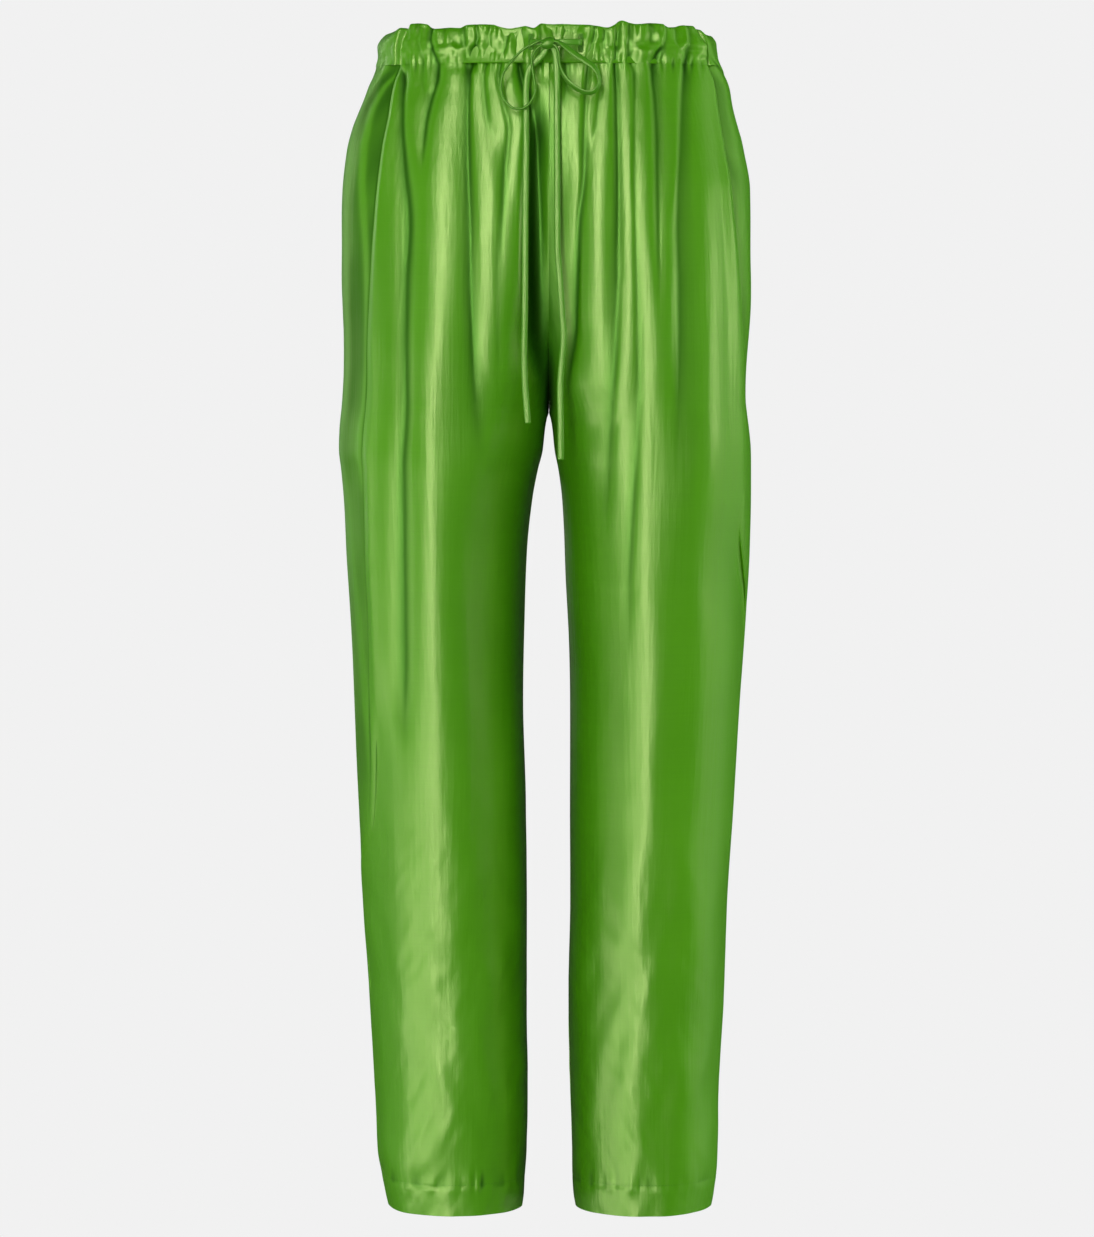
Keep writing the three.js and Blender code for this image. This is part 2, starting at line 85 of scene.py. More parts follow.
# z, half widths right and left, half gaps right and left, depth front and back, middle, share of
# two legs in the oval, exponent of the oval. Millimetres, from waist to hem.
SECTION_COLUMNS = (
    "z", "out_right", "out_left", "in_right", "in_left",
    "front", "back", "middle", "share", "square",
)
SECTION_ROWS = (
    (22, 138, 136.5, 0, 0, 90, 88, 0, 0, 2.2),
    (2, 144.5, 143, 0, 0, 92, 91, 0, 0, 2.2),
    (-17, 148, 149, 0, 0, 94, 95, 0, 0.02, 2.2),
    (-37, 158, 158, 0, 0, 98, 103, 1, 0.06, 2.25),
    (-55, 165, 161.5, 0, 0, 102, 111, 1, 0.12, 2.3),
    (-73, 171, 165.5, 0, 0, 105.5, 118, 2, 0.2, 2.3),
    (-91, 175.5, 169.5, 0, 0, 108.5, 124, 2, 0.29, 2.3),
    (-126, 179.5, 175.5, 0, 0, 114, 130, 3, 0.46, 2.3),
    (-180, 181.5, 176, 0, 0, 118, 133, 4, 0.66, 2.3),
    (-225, 182.5, 177, 0, 0, 119, 130, 5, 0.79, 2.25),
    (-270, 183.5, 178, 0, 0, 118.5, 124, 6, 0.9, 2.2),
    (-300, 184, 178.8, 0, 0, 117.5, 119, 6, 0.955, 2.15),
    (-314, 184.5, 179.2, 0, 0, 117, 116.5, 6, 0.985, 2.12),
    (-319, 184.8, 179.5, 0, 0, 117, 115.5, 6, 0.996, 2.1),
    (-322, 185, 179.8, 0, 0, 117, 115, 6, 1, 2.1),
    (-330, 185.8, 180.3, 2.2, 2.6, 116.5, 113.5, 6, 1, 2.1),
    (-341, 186.8, 180.9, 3.8, 4.4, 116, 112, 6, 1, 2.1),
    (-359, 187.6, 181.5, 5.4, 6.3, 115, 109.5, 6, 1, 2.1),
    (-377, 186, 181.5, 9.9, 9.9, 114, 107.5, 6, 1, 2.1),
    (-404, 184.3, 181.6, 15, 13.5, 112.5, 105, 6, 1, 2.1),
    (-449, 182.6, 180.8, 19.8, 16.2, 109.5, 101, 6, 1, 2.1),
    (-494, 180, 178.2, 21.6, 17.1, 106.5, 98, 6, 1, 2.1),
    (-585, 175.6, 171.1, 23.2, 19, 100.5, 92, 6, 1, 2.1),
    (-675, 172.2, 165.9, 20.8, 19, 95, 87, 6, 1, 2.1),
    (-765, 167.6, 160.2, 20, 19, 90, 82.5, 5, 1, 2.1),
    (-856, 161.7, 157.2, 20, 17.6, 85, 79, 4, 1, 2.1),
    (-947, 156.5, 152.2, 19.2, 19.6, 80.5, 76.5, 3, 1, 2.1),
    (-993, 154.4, 151.6, 20.4, 20.9, 78, 75.5, 2, 1, 2.1),
    (-1016, 150.3, 149.8, 22, 21.2, 76.5, 75, 1, 1, 2.1),
    (-1031, 147, 147.2, 23, 22.2, 75.5, 74.5, 1, 1, 2.1),
    (HEM_Z, 144.6, 145.2, 24.5, 24, 75, 74, 1, 1, 2.1),
)

# Side seams: z, degrees in front of the widest point, and slack of the front edge, right and left.
SEAM_COLUMNS = ("z", "right", "left", "slack_right", "slack_left")
SEAM_ROWS = (
    (22, 29, 23, 0, 0),
    (-17, 30, 23.5, 0, 0),
    (-70, 37.5, 27.5, 0.3, 0.8),
    (-126, 40.5, 31.5, 0.4, 2.2),
    (-190, 41.5, 30, 0.4, 4.4),
    (-250, 42, 29, 0.3, 4.6),
    (-312, 43.5, 28, 0.2, 3.4),
    (-422, 43.5, 27, 0.2, 1.0),
    (-460, 43, 19, 0, 0),
    (-500, 43, 4, 0, 0),
    (-585, 40, 0, 0, 0),
    (-640, 38, 0, 0, 0),
    (-690, 32, 0, 0, 0),
    (-730, 9, 0, 0, 0),
    (-765, 0, 0, 0, 0),
    (HEM_Z, 0, 0, 0, 0),
)


def smooth(start: float, end: float, value: Array) -> Array:
    """Smooth step from 0 at start to 1 at end."""
    t = np.clip((np.asarray(value, float) - start) / (end - start), 0.0, 1.0)
    return t * t * (3.0 - 2.0 * t)


def signed_power(value: Array, power: Array) -> Array:
    """Power of the size of a value, with the value's sign."""
    return np.sign(value) * np.abs(value) ** power


class Profile:
    """A monotone cubic line through a few given values."""

    def __init__(self, places: Sequence[float], values: Sequence[float]) -> None:
        """Sorts the points and works out the slope at each.

        Args:
            places: where the values are given, in any order.
            values: the value at each place.
        """
        order = np.argsort(places)
        self.x = np.asarray(places, float)[order]
        self.y = np.asarray(values, float)[order]
        slopes = np.diff(self.y) / np.diff(self.x)
        before, after = slopes[:-1], slopes[1:]
        product = before * after
        total = np.where(before + after == 0, 1.0, before + after)
        inner = np.where(product <= 0, 0.0, 2.0 * product / total)
        self.slope = np.concatenate([slopes[:1], inner, slopes[-1:]])

    def __call__(self, place: Array) -> Array:
        """Value at a place; beyond the ends it stays as it is at the end.

        Args:
            place: where to read the line.

        Returns:
            Values in the shape of place.
        """
        at = np.clip(np.asarray(place, float), self.x[0], self.x[-1])
        i = np.clip(np.searchsorted(self.x, at, side="right") - 1, 0, len(self.x) - 2)
        span = self.x[i + 1] - self.x[i]
        t = (at - self.x[i]) / span
        t2, t3 = t * t, t * t * t
        return (
            (2 * t3 - 3 * t2 + 1) * self.y[i]
            + (t3 - 2 * t2 + t) * span * self.slope[i]
            + (3 * t2 - 2 * t3) * self.y[i + 1]
            + (t3 - t2) * span * self.slope[i + 1]
        )


def profiles(columns: Sequence[str], rows: Sequence[Sequence[float]]) -> dict[str, Profile]:
    """One profile over z for each named column of a table.

    Args:
        columns: the names, z first.
        rows: the table's rows.

    Returns:
        The profiles by column name.
    """
    heights = [row[0] for row in rows]
    return {name: Profile(heights, [row[i] for row in rows]) for i, name in enumerate(columns) if i}


def path_line(path: Sequence[tuple[float, float]]) -> Profile:
    """Distance from the centre line over z, through a path of (distance, z) points."""
    return Profile([z for _, z in path], [x for x, _ in path])


@dataclass
class BodyForm:
    """The smooth hollow form that the cloth is cut and filled out to."""

    sections: dict[str, Profile] = field(init=False)
    seams: dict[str, Profile] = field(init=False)

    def __post_init__(self) -> None:
        """Sets up the lines of every column of the two tables."""
        self.sections = profiles(SECTION_COLUMNS, SECTION_ROWS)
        self.seams = profiles(SEAM_COLUMNS, SEAM_ROWS)

    def depths(self, side: Side, z: Array) -> tuple[Array, Array]:
        """Depth of the form before and behind its widest line."""
        oval = self.oval(side, z)
        return oval["front"] + oval["middle"], oval["back"] - oval["middle"]

    def oval(self, side: Side, z: Array) -> dict[str, Array]:
        """Centre, radii and exponent of one side's oval at each height.

        Args:
            side: wearer's side.
            z: heights.

        Returns:
            Arrays by name: centre, radius, middle, front, back and square.
        """
        name = side.name.lower()
        out = self.sections[f"out_{name}"](z)
        inner = self.sections[f"in_{name}"](z)
        centre = np.minimum(1.0, self.sections["share"](z)) * (out + inner) / 2
        found = {key: self.sections[key](z) for key in ("middle", "front", "back", "square")}
        return {"centre": centre, "radius": out - centre, **found}

    def seam_angle(self, side: Side, z: Array) -> Array:
        """Degrees by which the side seam runs in front of the widest point."""
        return self.seams[side.name.lower()](z)

    def slack(self, side: Side, z: Array) -> Array:
        """How far the front edge stands off at the side seam."""
        return self.seams[f"slack_{side.name.lower()}"](z)

    def inner_angle(self, side: Side, z: Array) -> Array:
        """Degrees from the widest point to the centre line, or to the inseam below the crotch.

        Args:
            side: wearer's side.
            z: heights.

        Returns:
            Angles in degrees.
        """
        oval = self.oval(side, z)
        reach = np.clip((oval["centre"] - 0.02) / oval["radius"], -1.0, 1.0)
        return 180.0 - np.degrees(np.arccos(signed_power(reach, oval["square"] / 2)))

    def degrees_per_mm(self, side: Side, z: Array) -> Array:
        """Turn for each millimetre of cloth at the side seam.

        Args:
            side: wearer's side.
            z: heights.

        Returns:
            Degrees for each millimetre.
        """
        seam = np.radians(self.seam_angle(side, z))
        depth, _ = self.depths(side, z)
        radius = self.oval(side, z)["radius"]
        return np.degrees(1.0 / np.hypot(radius * np.sin(seam), depth * np.cos(seam)))

    def surface(self, side: Side, angle: Array, z: Array, off: Array) -> Array:
        """Points of the form, moved out along its level normal.

        Args:
            side: wearer's side.
            angle: degrees from the widest point, negative in front.
            z: heights.
            off: distance outward, in millimetres.

        Returns:
            Array of points with x, y and z last, in millimetres.
        """
        oval = self.oval(side, z)
        turn = np.radians(angle)
        ahead = turn < 0
        depth = np.where(ahead, *self.depths(side, z))
        power = 2.0 / oval["square"]
        cx, cy = signed_power(np.cos(turn), power), signed_power(np.sin(turn), power)
        nx = signed_power(cx, oval["square"] - 1) / oval["radius"]
        ny = signed_power(cy, oval["square"] - 1) / depth
        length = np.hypot(nx, ny)
        x = np.maximum(0.02, oval["centre"] + oval["radius"] * cx + off * nx / length)
        y = oval["middle"] + depth * cy + off * ny / length
        return np.stack([side.value * x, y, np.broadcast_to(z, x.shape)], axis=-1)

    def from_centre(self, side: Side, face: Face, angle: Array, z: Array) -> Array:
        """Distance from the centre line; on the back it runs on past the widest point.

        Args:
            side: wearer's side.
            face: front or back.
            angle: degrees from the widest point, negative in front.
            z: heights, in the same shape.

        Returns:
            Distances.
        """
        x = np.abs(self.surface(side, angle, z, np.zeros_like(angle))[..., 0])
        if face is Face.FRONT:
            return x
        oval = self.oval(side, z)
        return np.where(angle < 0, 2 * (oval["centre"] + oval["radius"]) - x, x)


# ------------------------------------------------------------------------------ folds
R, L = Side.RIGHT, Side.LEFT
F, B = Face.FRONT, Face.BACK


@dataclass(frozen=True)
class Pleat:
    """The line of one ridge or trough of the gathered cloth.

    level is the line's height over the smooth form, below zero for a trough; path holds
    (distance from the centre line, z) from its top to its end, in millimetres.
    """

    side: Side
    face: Face
    level: float
    path: tuple[tuple[float, float], ...]
    fade_out: float = 60.0

    def strength(self, z: float) -> float:
        """Share of its level that the line has at a height."""
        return float(smooth(0, self.fade_out, z - self.path[-1][1]))


PLEATS: tuple[Pleat, ...] = (
    # wearer's right front, from the centre seam out to the side seam; casing and panel in one run
    Pleat(R, F, -2.6, ((8, 21), (8, 7), (9, -17), (6, -42)), 24),
    Pleat(R, F, 0.6, ((17, 21), (16.7, 7), (16, -17), (14, -28), (10, -46)), 20),
    Pleat(R, F, -6.4, ((26, 21), (26.3, 7), (26.5, -17), (25, -28), (18, -50), (12, -76), (9, -111),
        (7, -155), (6, -207), (5, -300)), 70),
    Pleat(R, F, 1.4, ((32, 21), (31.6, 7), (35.5, -17), (36.9, -28), (34.2, -50), (28.2, -76),
        (28.5, -111), (31.6, -155), (34.2, -207), (36.8, -260), (41.3, -312), (43.5, -380)), 80),
    Pleat(R, F, -3.8, ((38, 21), (36.8, 7), (42, -12), (44.8, -28), (40.6, -50), (35.5, -76),
        (39, -111), (43, -200)), 80),
    Pleat(R, F, 0.8, ((48, 21), (48.5, 7), (48, -12), (51.8, -28), (48.3, -50), (43.9, -76),
        (43, -106)), 34),
    Pleat(R, F, -3.4, ((53, 21), (52.6, 7), (55, -12), (58.2, -28), (57, -50), (52, -84)), 30),
    Pleat(R, F, 1.5, ((59, 21), (58, 7), (61, -17), (64, -28), (64.5, -50), (61.4, -76), (57, -111),
        (55, -155), (54.3, -207), (52.6, -260), (47.4, -304), (45, -380)), 80),
    Pleat(R, F, -5.4, ((64, 21), (63.5, 7), (68, -12), (71, -28), (72, -76), (71.5, -111), (70, -155),
        (69, -207), (66.6, -260), (60, -370)), 120),
    Pleat(R, F, 0.9, ((69, 21), (69, 7), (71, -4)), 8),
    Pleat(R, F, -3.4, ((75, 21), (74.5, 7), (75, -6)), 8),
    Pleat(R, F, 1.9, ((84, 21), (85.6, 7), (85, -17), (83.5, -28), (88.5, -50), (94, -76), (96, -120),
        (96.5, -155), (97, -207), (100, -260), (103.5, -312), (105, -374), (105.5, -470), (104, -560),
        (101, -632)), 90),
    Pleat(R, F, -3.0, ((91, 21), (91.2, 7), (93, -8)), 10),
    Pleat(R, F, 0.9, ((96, 21), (96, 7), (97, -4)), 8),
    Pleat(R, F, -4.6, ((101, 21), (103.5, 7), (100, -10), (98, -20), (98.6, -30), (104.4, -50),
        (109, -76), (111.8, -128)), 52),
    Pleat(R, F, 0.9, ((108, 21), (109.6, 7), (105.5, -17), (105.2, -28), (109.6, -56)), 18),
    Pleat(R, F, -2.0, ((113, 21), (113, 7), (110, -17), (110, -30), (113, -52)), 20),
    Pleat(R, F, 1.6, ((118, 21), (116.8, 7), (117, -10), (115.5, -28), (116.5, -50), (119, -98)), 34),
    Pleat(R, F, -2.6, ((122, 21), (121.2, 7), (121, 2)), 5),
    Pleat(R, F, 1.2, ((127, 21), (126.8, 7), (126, 0)), 6),
    Pleat(R, F, -5.0, ((132, 21), (131.6, 7), (129, -6), (127.5, -28), (128.5, -50), (129, -76),
        (127.8, -111), (124, -155), (127, -207), (128, -260), (127.2, -312), (130, -374),
        (129.4, -540), (128, -632)), 100),
    Pleat(R, F, 1.4, ((138, 21), (138, 7), (137, -28), (139, -59), (142, -111), (143, -225),
        (144, -339), (147, -420), (147, -520), (145, -630)), 130),
    # wearer's left front
    Pleat(L, F, 0.3, ((8, 21), (7.9, 7), (6, -10), (8, -34)), 16),
    Pleat(L, F, -3.0, ((15, 21), (14, 7), (16, -17), (14, -66)), 30),
    Pleat(L, F, 0.9, ((31, 21), (30.4, 7), (27, -17), (26.3, -28), (21.5, -58), (21, -85),
        (21.5, -111), (16.6, -155), (10.6, -207), (10, -250)), 100),
    Pleat(L, F, -5.2, ((41, 21), (40, 7), (36, -12), (34.2, -28), (32.4, -50), (31.5, -76), (31, -111),
        (26.2, -155), (22.6, -207), (19.2, -260), (16, -330)), 90),
    Pleat(L, F, 0.2, ((46, 21), (45, 7), (41, -17), (42, -28), (39, -50), (36.5, -76),
        (35.5, -98)), 30),
    Pleat(L, F, -3.0, ((50, 21), (49.4, 7), (45.5, -12), (46.5, -28), (43.8, -50), (41, -76),
        (39, -100)), 30),
    Pleat(L, F, 1.5, ((55, 21), (54.4, 7), (50.5, -17), (51.4, -28), (49.4, -50), (46.4, -76),
        (42, -111), (37.6, -155), (34.6, -207), (35.9, -260), (39.4, -312), (41, -374),
        (41, -450)), 90),
    Pleat(L, F, -4.4, ((62, 21), (61, 7), (59.2, -12), (60, -60), (61, -120), (60, -207), (58, -260),
        (55, -312), (52.5, -374), (50.5, -450)), 150),
    Pleat(L, F, 2.0, ((67.5, 21), (66, 10), (65.5, 0), (65, -12), (68, -28), (69, -50), (69, -76),
        (69, -111), (70, -155), (70, -207), (68, -260), (64, -312), (61, -374), (60, -460)), 80),
    Pleat(L, F, -3.6, ((71.5, 21), (70.6, 7), (70, -6), (73, -17), (75.4, -28), (75.4, -50), (75, -76),
        (75, -111), (75.6, -155), (77, -207), (79, -300), (77, -340), (73.5, -400), (71, -470),
        (70, -560)), 120),
    Pleat(L, F, 1.8, ((76, 21), (78, 7), (80, -17), (82.4, -28), (81.8, -50), (81, -76), (81.4, -155),
        (85.8, -207), (87.6, -260), (86.8, -312), (85, -374), (82, -444), (79, -600)), 200),
    Pleat(L, F, -2.6, ((88, 21), (89, 7), (90, -4)), 8),
    Pleat(L, F, 0.9, ((94, 21), (94.8, 7), (94, -6)), 8),
    Pleat(L, F, -3.8, ((101, 21), (100.9, 7), (95, -10), (91.6, -20), (91.8, -28), (93.8, -50),
        (95.5, -76), (96.2, -137), (98, -270)), 110),
    Pleat(L, F, 1.4, ((104.5, 21), (105.3, 7), (106.2, -17), (106, -28), (105.4, -50), (106, -76),
        (107, -170)), 80),
    Pleat(L, F, -2.6, ((110, 21), (109.8, 7), (110.4, -6)), 8),
    Pleat(L, F, 0.9, ((115, 21), (115, 7), (114, -6)), 8),
    Pleat(L, F, -3.4, ((121, 21), (120.2, 7), (118.4, -28), (116.5, -76), (114, -155), (115.5, -207),
        (116.5, -260), (114, -390)), 140),
    Pleat(L, F, 1.2, ((125, 21), (125.6, 7), (129, -17), (131, -60), (134, -110), (138, -155),
        (143, -207), (145, -260), (144.4, -312), (140, -374), (138, -470)), 130),
    # strip of the back panels that comes round to the front: x runs on past the widest point
    Pleat(R, B, 0.4, ((149, 21), (149, 5), (154, -15), (162, -50), (172, -80), (179, -112),
        (186, -200), (188, -300), (188, -560)), 300),
    Pleat(R, B, -1.6, ((156, 21), (156, 5), (160, -15), (169, -50), (179, -80), (186, -112),
        (194, -200), (197, -300), (198, -600)), 400),
    Pleat(R, B, 0.4, ((161, 21), (161, 5), (166, -15), (176, -50), (188, -80), (195, -112),
        (203, -200), (206, -300), (207, -560)), 300),
    Pleat(L, B, 0.6, ((152, 21), (154, 0), (160, -20), (170, -50), (175, -74), (178, -120)), 60),
    Pleat(L, B, -3.6, ((158, 21), (161, 0), (168, -20), (178, -50), (184, -74), (190, -180)), 110),
    # back: fuller over the seat, the same kind of gathers and pulls
    Pleat(R, B, 0.6, ((12, 21), (11, -17), (9, -110)), 60),
    Pleat(R, B, -4.6, ((27, 21), (24, -17), (21, -90), (24, -290)), 110),
    Pleat(R, B, 1.6, ((42, 21), (40, -17), (38, -90), (44, -320)), 120),
    Pleat(R, B, -4.4, ((58, 21), (56, -17), (55, -90), (60, -280)), 110),
    Pleat(R, B, 1.8, ((72, 21), (73, -17), (75, -90), (82, -340)), 140),
    Pleat(R, B, -4.8, ((90, 21), (92, -17), (94, -90), (98, -300)), 120),
    Pleat(R, B, 1.6, ((104, 21), (111, -17), (114, -80), (118, -260)), 110),
    Pleat(R, B, -4.4, ((120, 21), (130, -17), (134, -60), (140, -210)), 90),
    Pleat(R, B, 1.2, ((134, 21), (146, -17), (150, -60), (157, -190)), 90),
    Pleat(L, B, 0.4, ((9, 21), (9, -17), (8, -80)), 40),
    Pleat(L, B, -4.6, ((22, 21), (20, -17), (19, -90), (22, -280)), 110),
    Pleat(L, B, 1.8, ((38, 21), (36, -17), (34, -90), (42, -340)), 130),
    Pleat(L, B, -4.2, ((54, 21), (52, -17), (52, -90), (56, -260)), 100),
    Pleat(L, B, 2.0, ((67, 21), (69, -17), (70, -90), (76, -370)), 150),
    Pleat(L, B, -5.0, ((85, 21), (88, -17), (90, -90), (94, -330)), 130),
    Pleat(L, B, 1.6, ((101, 21), (107, -17), (109, -80), (116, -240)), 110),
    Pleat(L, B, -4.2, ((118, 21), (127, -17), (130, -60), (136, -230)), 100),
    Pleat(L, B, 1.4, ((132, 21), (143, -17), (148, -60), (154, -200)), 90),
)


@dataclass(frozen=True)
class Swell:
    """A long soft pull or dip: a rounded ridge, or a dip where the height is negative."""

    side: Side
    face: Face
    width: float
    height: float
    path: tuple[tuple[float, float], ...]
    fade_in: float = 120.0
    fade_out: float = 160.0

    def relief(self, x: Array, z: Array) -> Array:
        """Height of the swell at points of its side.

        Args:
            x: distance from the centre line.
            z: heights.

        Returns:
            Heights.
        """
        top, end = self.path[0][1], self.path[-1][1]
        line = path_line(self.path)
        across = np.clip(np.abs(x - line(z)) / self.width, 0.0, 1.0)
        inside = (z <= top) & (z >= end)
        fade = smooth(0, self.fade_in, top - z) * smooth(0, self.fade_out, z - end)
        return np.where(inside, self.height * fade * (1.0 - across * across) ** 2, 0.0)


SWELLS: tuple[Swell, ...] = (
    # the valley between the legs, up to the middle of the hips
    Swell(R, F, 50, -11, ((0, -50), (0, -305)), 150, 60),
    Swell(L, F, 50, -11, ((0, -50), (0, -305)), 150, 60),
    Swell(R, B, 34, -6, ((0, -120), (0, -305)), 120, 60),
    Swell(L, B, 34, -6, ((0, -120), (0, -305)), 120, 60),
    # the valley's deepest run, under the right free end, and a pressed line that ends short
    Swell(R, F, 15, -6.5, ((9, -44), (11, -80), (13, -120), (12, -170), (9, -230),
        (4, -305)), 60, 60),
    Swell(L, F, 4.5, -0.5, ((59.2, -14), (60, -60), (61, -120), (62, -207), (62.1, -214)), 6, 8),
    # pulls down the legs
    Swell(R, F, 34, 2.0, ((92, -300), (96, -450), (95, -650), (92, -860)), 150, 200),
    Swell(R, F, 26, -2.4, ((146, -520), (152, -700), (150, -860), (142, -1000)), 120, 60),
    Swell(R, F, 22, -1.8, ((58, -400), (52, -600), (50, -800)), 120, 160),
    Swell(L, F, 30, 2.0, ((84, -480), (80, -650), (78, -860), (80, -1010)), 160, 60),
    Swell(L, F, 24, -1.8, ((112, -380), (116, -560), (112, -760)), 140, 180),
    Swell(R, B, 30, -2.2, ((62, -380), (58, -560), (60, -760)), 130, 180),
    Swell(R, B, 28, 2.0, ((110, -400), (106, -620), (104, -880)), 150, 180),
    Swell(L, B, 30, 2.0, ((104, -380), (100, -600), (98, -860)), 150, 180),
    Swell(L, B, 26, -2.0, ((56, -420), (60, -620), (58, -820)), 130, 180),
)


class PleatField:
    """Relief of one side's front or back, rolled from slopes set at the pleat lines.

    A ridge line is where the cloth turns to the light, whatever the form under it; a trough line
    is a crease whose walls are as steep as its level says. Slow drift off the form is taken out.
    """

    reach = 232.0
    across = 0.5
    down = 1.0
    top = 22.0
    depth = 660.0
    crease = 1.3
    steep = 0.092
    wall_run = 0.55
    lean_most = 0.24
    ridge_run = 7.5
    ridge_turn = 0.021
    drift = 42.0
    most = 9.0
    painted_shade_width = 7.0
    painted_shade_full = 1.4
    facing = {(F, R): 0.09, (F, L): -0.12, (B, R): 0.0, (B, L): 0.0}

    def __init__(self, form: BodyForm, side: Side, face: Face) -> None:
        """Works the heights out on a fine lattice.

        Args:
            form: the smooth form.
            side: wearer's side.
            face: front or back.
        """
        self.form, self.side, self.face = form, side, face
        mine = [pleat for pleat in PLEATS if pleat.side is side and pleat.face is face]
        self.pleats = sorted(mine, key=lambda pleat: pleat.path[-1][1])
        self.lines = [path_line(pleat.path) for pleat in self.pleats]
        self.swells = [swell for swell in SWELLS if swell.side is side and swell.face is face]
        self.places = np.arange(0.0, self.reach, self.across)
        self.levels = self.top - np.arange(0.0, self.depth, self.down)
        slopes = np.array([self.row(float(z)) for z in self.levels])
        heights = np.cumsum(slopes, axis=1) * self.across
        count = len(self.places)
        second = 2.0 * np.eye(count) - np.eye(count, k=1) - np.eye(count, k=-1)
        second[0, 0] = 1.0
        slow = np.linalg.inv(np.eye(count) + (self.drift / self.across) ** 2 * second)
        self.lattice = self.most * np.tanh((heights - heights @ slow.T) / self.most)
        # painted shade: how far each place lies below its smoothed surroundings, painted into the base
        # colour as shade
        away = (self.places[:, None] - self.places[None, :]) / self.painted_shade_width
        kernel = np.exp(-0.5 * away**2)
        kernel /= kernel.sum(1, keepdims=True)
        self.painted_shades = np.clip((self.lattice @ kernel.T - self.lattice) / self.painted_shade_full, 0.0, 1.0)

    def form_slope(self, x: float, z: float) -> float:
        """Fall of the smooth form for each millimetre outward.

        Args:
            x: distance from the centre line.
            z: height.

        Returns:
            The slope, positive where the form falls away outward.
        """
        oval = self.form.oval(self.side, np.array(z))
        share = min(float((x - oval["centre"]) / oval["radius"]), 0.95)
        front, back = self.form.depths(self.side, np.array(z))
        depth = front if self.face is Face.FRONT else back
        power, size = float(oval["square"]), abs(share)
        tilt = size ** (power - 1) * (1 - size**power) ** (1 / power - 1)
        fall = math.copysign(float(depth / oval["radius"]) * tilt, share)
        return fall * (1 - float(smooth(0.7, 0.94, share)))

    def edge(self, z: float) -> float:
        """Distance of the panel's side edge from the centre line, run on past the widest point.

        Args:
            z: height.

        Returns:
            The distance in millimetres.
        """
        oval = self.form.oval(self.side, np.array(z))
        turn = math.radians(float(self.form.seam_angle(self.side, np.array(z))))
        seam = float(oval["centre"] + oval["radius"] * math.cos(turn) ** (2.0 / oval["square"]))
        if self.face is Face.FRONT:
            return seam
        return 2.0 * float(oval["centre"] + oval["radius"]) - seam + UNDERLAP

    def row(self, z: float) -> Array:
        """Slopes of the relief across at one level.

        Args:
            z: height.

        Returns:
            One slope for each place across.
        """
        facing, edge = self.facing[self.face, self.side], self.edge(z)
        at, lean = [0.0, edge + 3.0, self.reach + 40.0], [0.0, 0.0, 0.0]
        lines = []
        for pleat, line in zip(self.pleats, self.lines):
            x = float(line(z))
            lines.append((x, pleat.level, pleat.strength(z) * (1 - float(smooth(edge - 6, edge - 1, x)))))
        for x, level, share in lines:
            if share <= 0:
                continue
            rooms = [0.45 * abs(x - other) + 9.0 * (1 - there) for other, _, there in lines if other != x]
            room = min(rooms)
            if level > 0:
                wanted = (self.form_slope(x, z) - facing) * min(1.0, level)
                wanted = min(max(wanted, -self.lean_most), self.lean_most)
                wide = min(self.ridge_run, room)
                turn = self.ridge_turn * wide * min(1.0, level)
                targets = [(x - wide, wanted + turn), (x, wanted), (x + wide, wanted - turn)]
            else:
                wall = self.steep * -level
                foot = min(self.crease + self.wall_run * -level, max(room, 0.4))
                near = min(self.crease, 0.6 * foot)
                targets = [(x - foot, -0.9 * wall), (x - near, -wall)]
                targets += [(x + near, wall), (x + foot, 0.9 * wall)]
            was = [float(np.interp(place, at, lean)) for place, _ in targets]
            for (place, value), here in zip(targets, was):
                k = bisect.bisect(at, place)
                at.insert(k, place)
                lean.insert(k, here + (value - here) * share)
        return np.interp(self.places, at, lean)

    def sample(self, grid: Array, x: Array, z: Array) -> Array:
        """Value of a lattice at any place.

        Args:
            grid: the lattice.
            x: distance from the centre line.
            z: heights.

        Returns:
            Values between the four nearest points of the lattice.
        """
        x, z = np.broadcast_arrays(x, z)
        column = np.clip(x / self.across, 0, len(self.places) - 1.001)
        row = np.clip((self.top - z) / self.down, 0, len(self.levels) - 1.001)
        c, r = column.astype(int), row.astype(int)
        u, v = column - c, row - r
        first = grid[r, c] * (1 - u) + grid[r, c + 1] * u
        second = grid[r + 1, c] * (1 - u) + grid[r + 1, c + 1] * u
        return first * (1 - v) + second * v

    def __call__(self, x: Array, z: Array) -> Array:
        """Height at any place, swells included.

        Args:
            x: distance from the centre line.
            z: heights.

        Returns:
            Heights.
        """
        total = self.sample(self.lattice, x, z)
        for swell in self.swells:
            total = total + swell.relief(x, z)
        return total

    def painted_shade(self, x: Array, z: Array) -> Array:
        """Painted shade of a place, 0 to 1: how far it lies down in a crease."""
        return self.sample(self.painted_shades, x, z)


# Height of the casing's folded top edge in front, x and z in millimetres, right side first.
TOP_EDGE = (
    (-146, 8), (-141, 12), (-136, 17), (-129, 19), (-120, 19.4), (-113, 18.5), (-106, 14.5), (-101, 14),
    (-91, 14.8), (-82, 14.5), (-76, 16.8), (-65, 17.3), (-52, 17), (-45, 15), (-36, 13.6), (-29, 14.5),
    (-22, 15.5), (-14, 13.8), (-7, 17.8), (2.6, 17.2), (14, 17.4), (27, 17), (43, 16), (54, 14.6),
    (60.5, 17), (68, 20.8), (74.5, 19), (81, 17.8), (93, 18.8), (103, 18.2), (108, 15.5), (115, 16),
    (122, 17.8), (132, 17.8), (138, 13), (143, 7),
)


def gather(z: Array) -> Array:
    """How much fuller the folds stand in the casing and just under it."""
    return 1.0 + 0.7 * smooth(-50, -14, z)


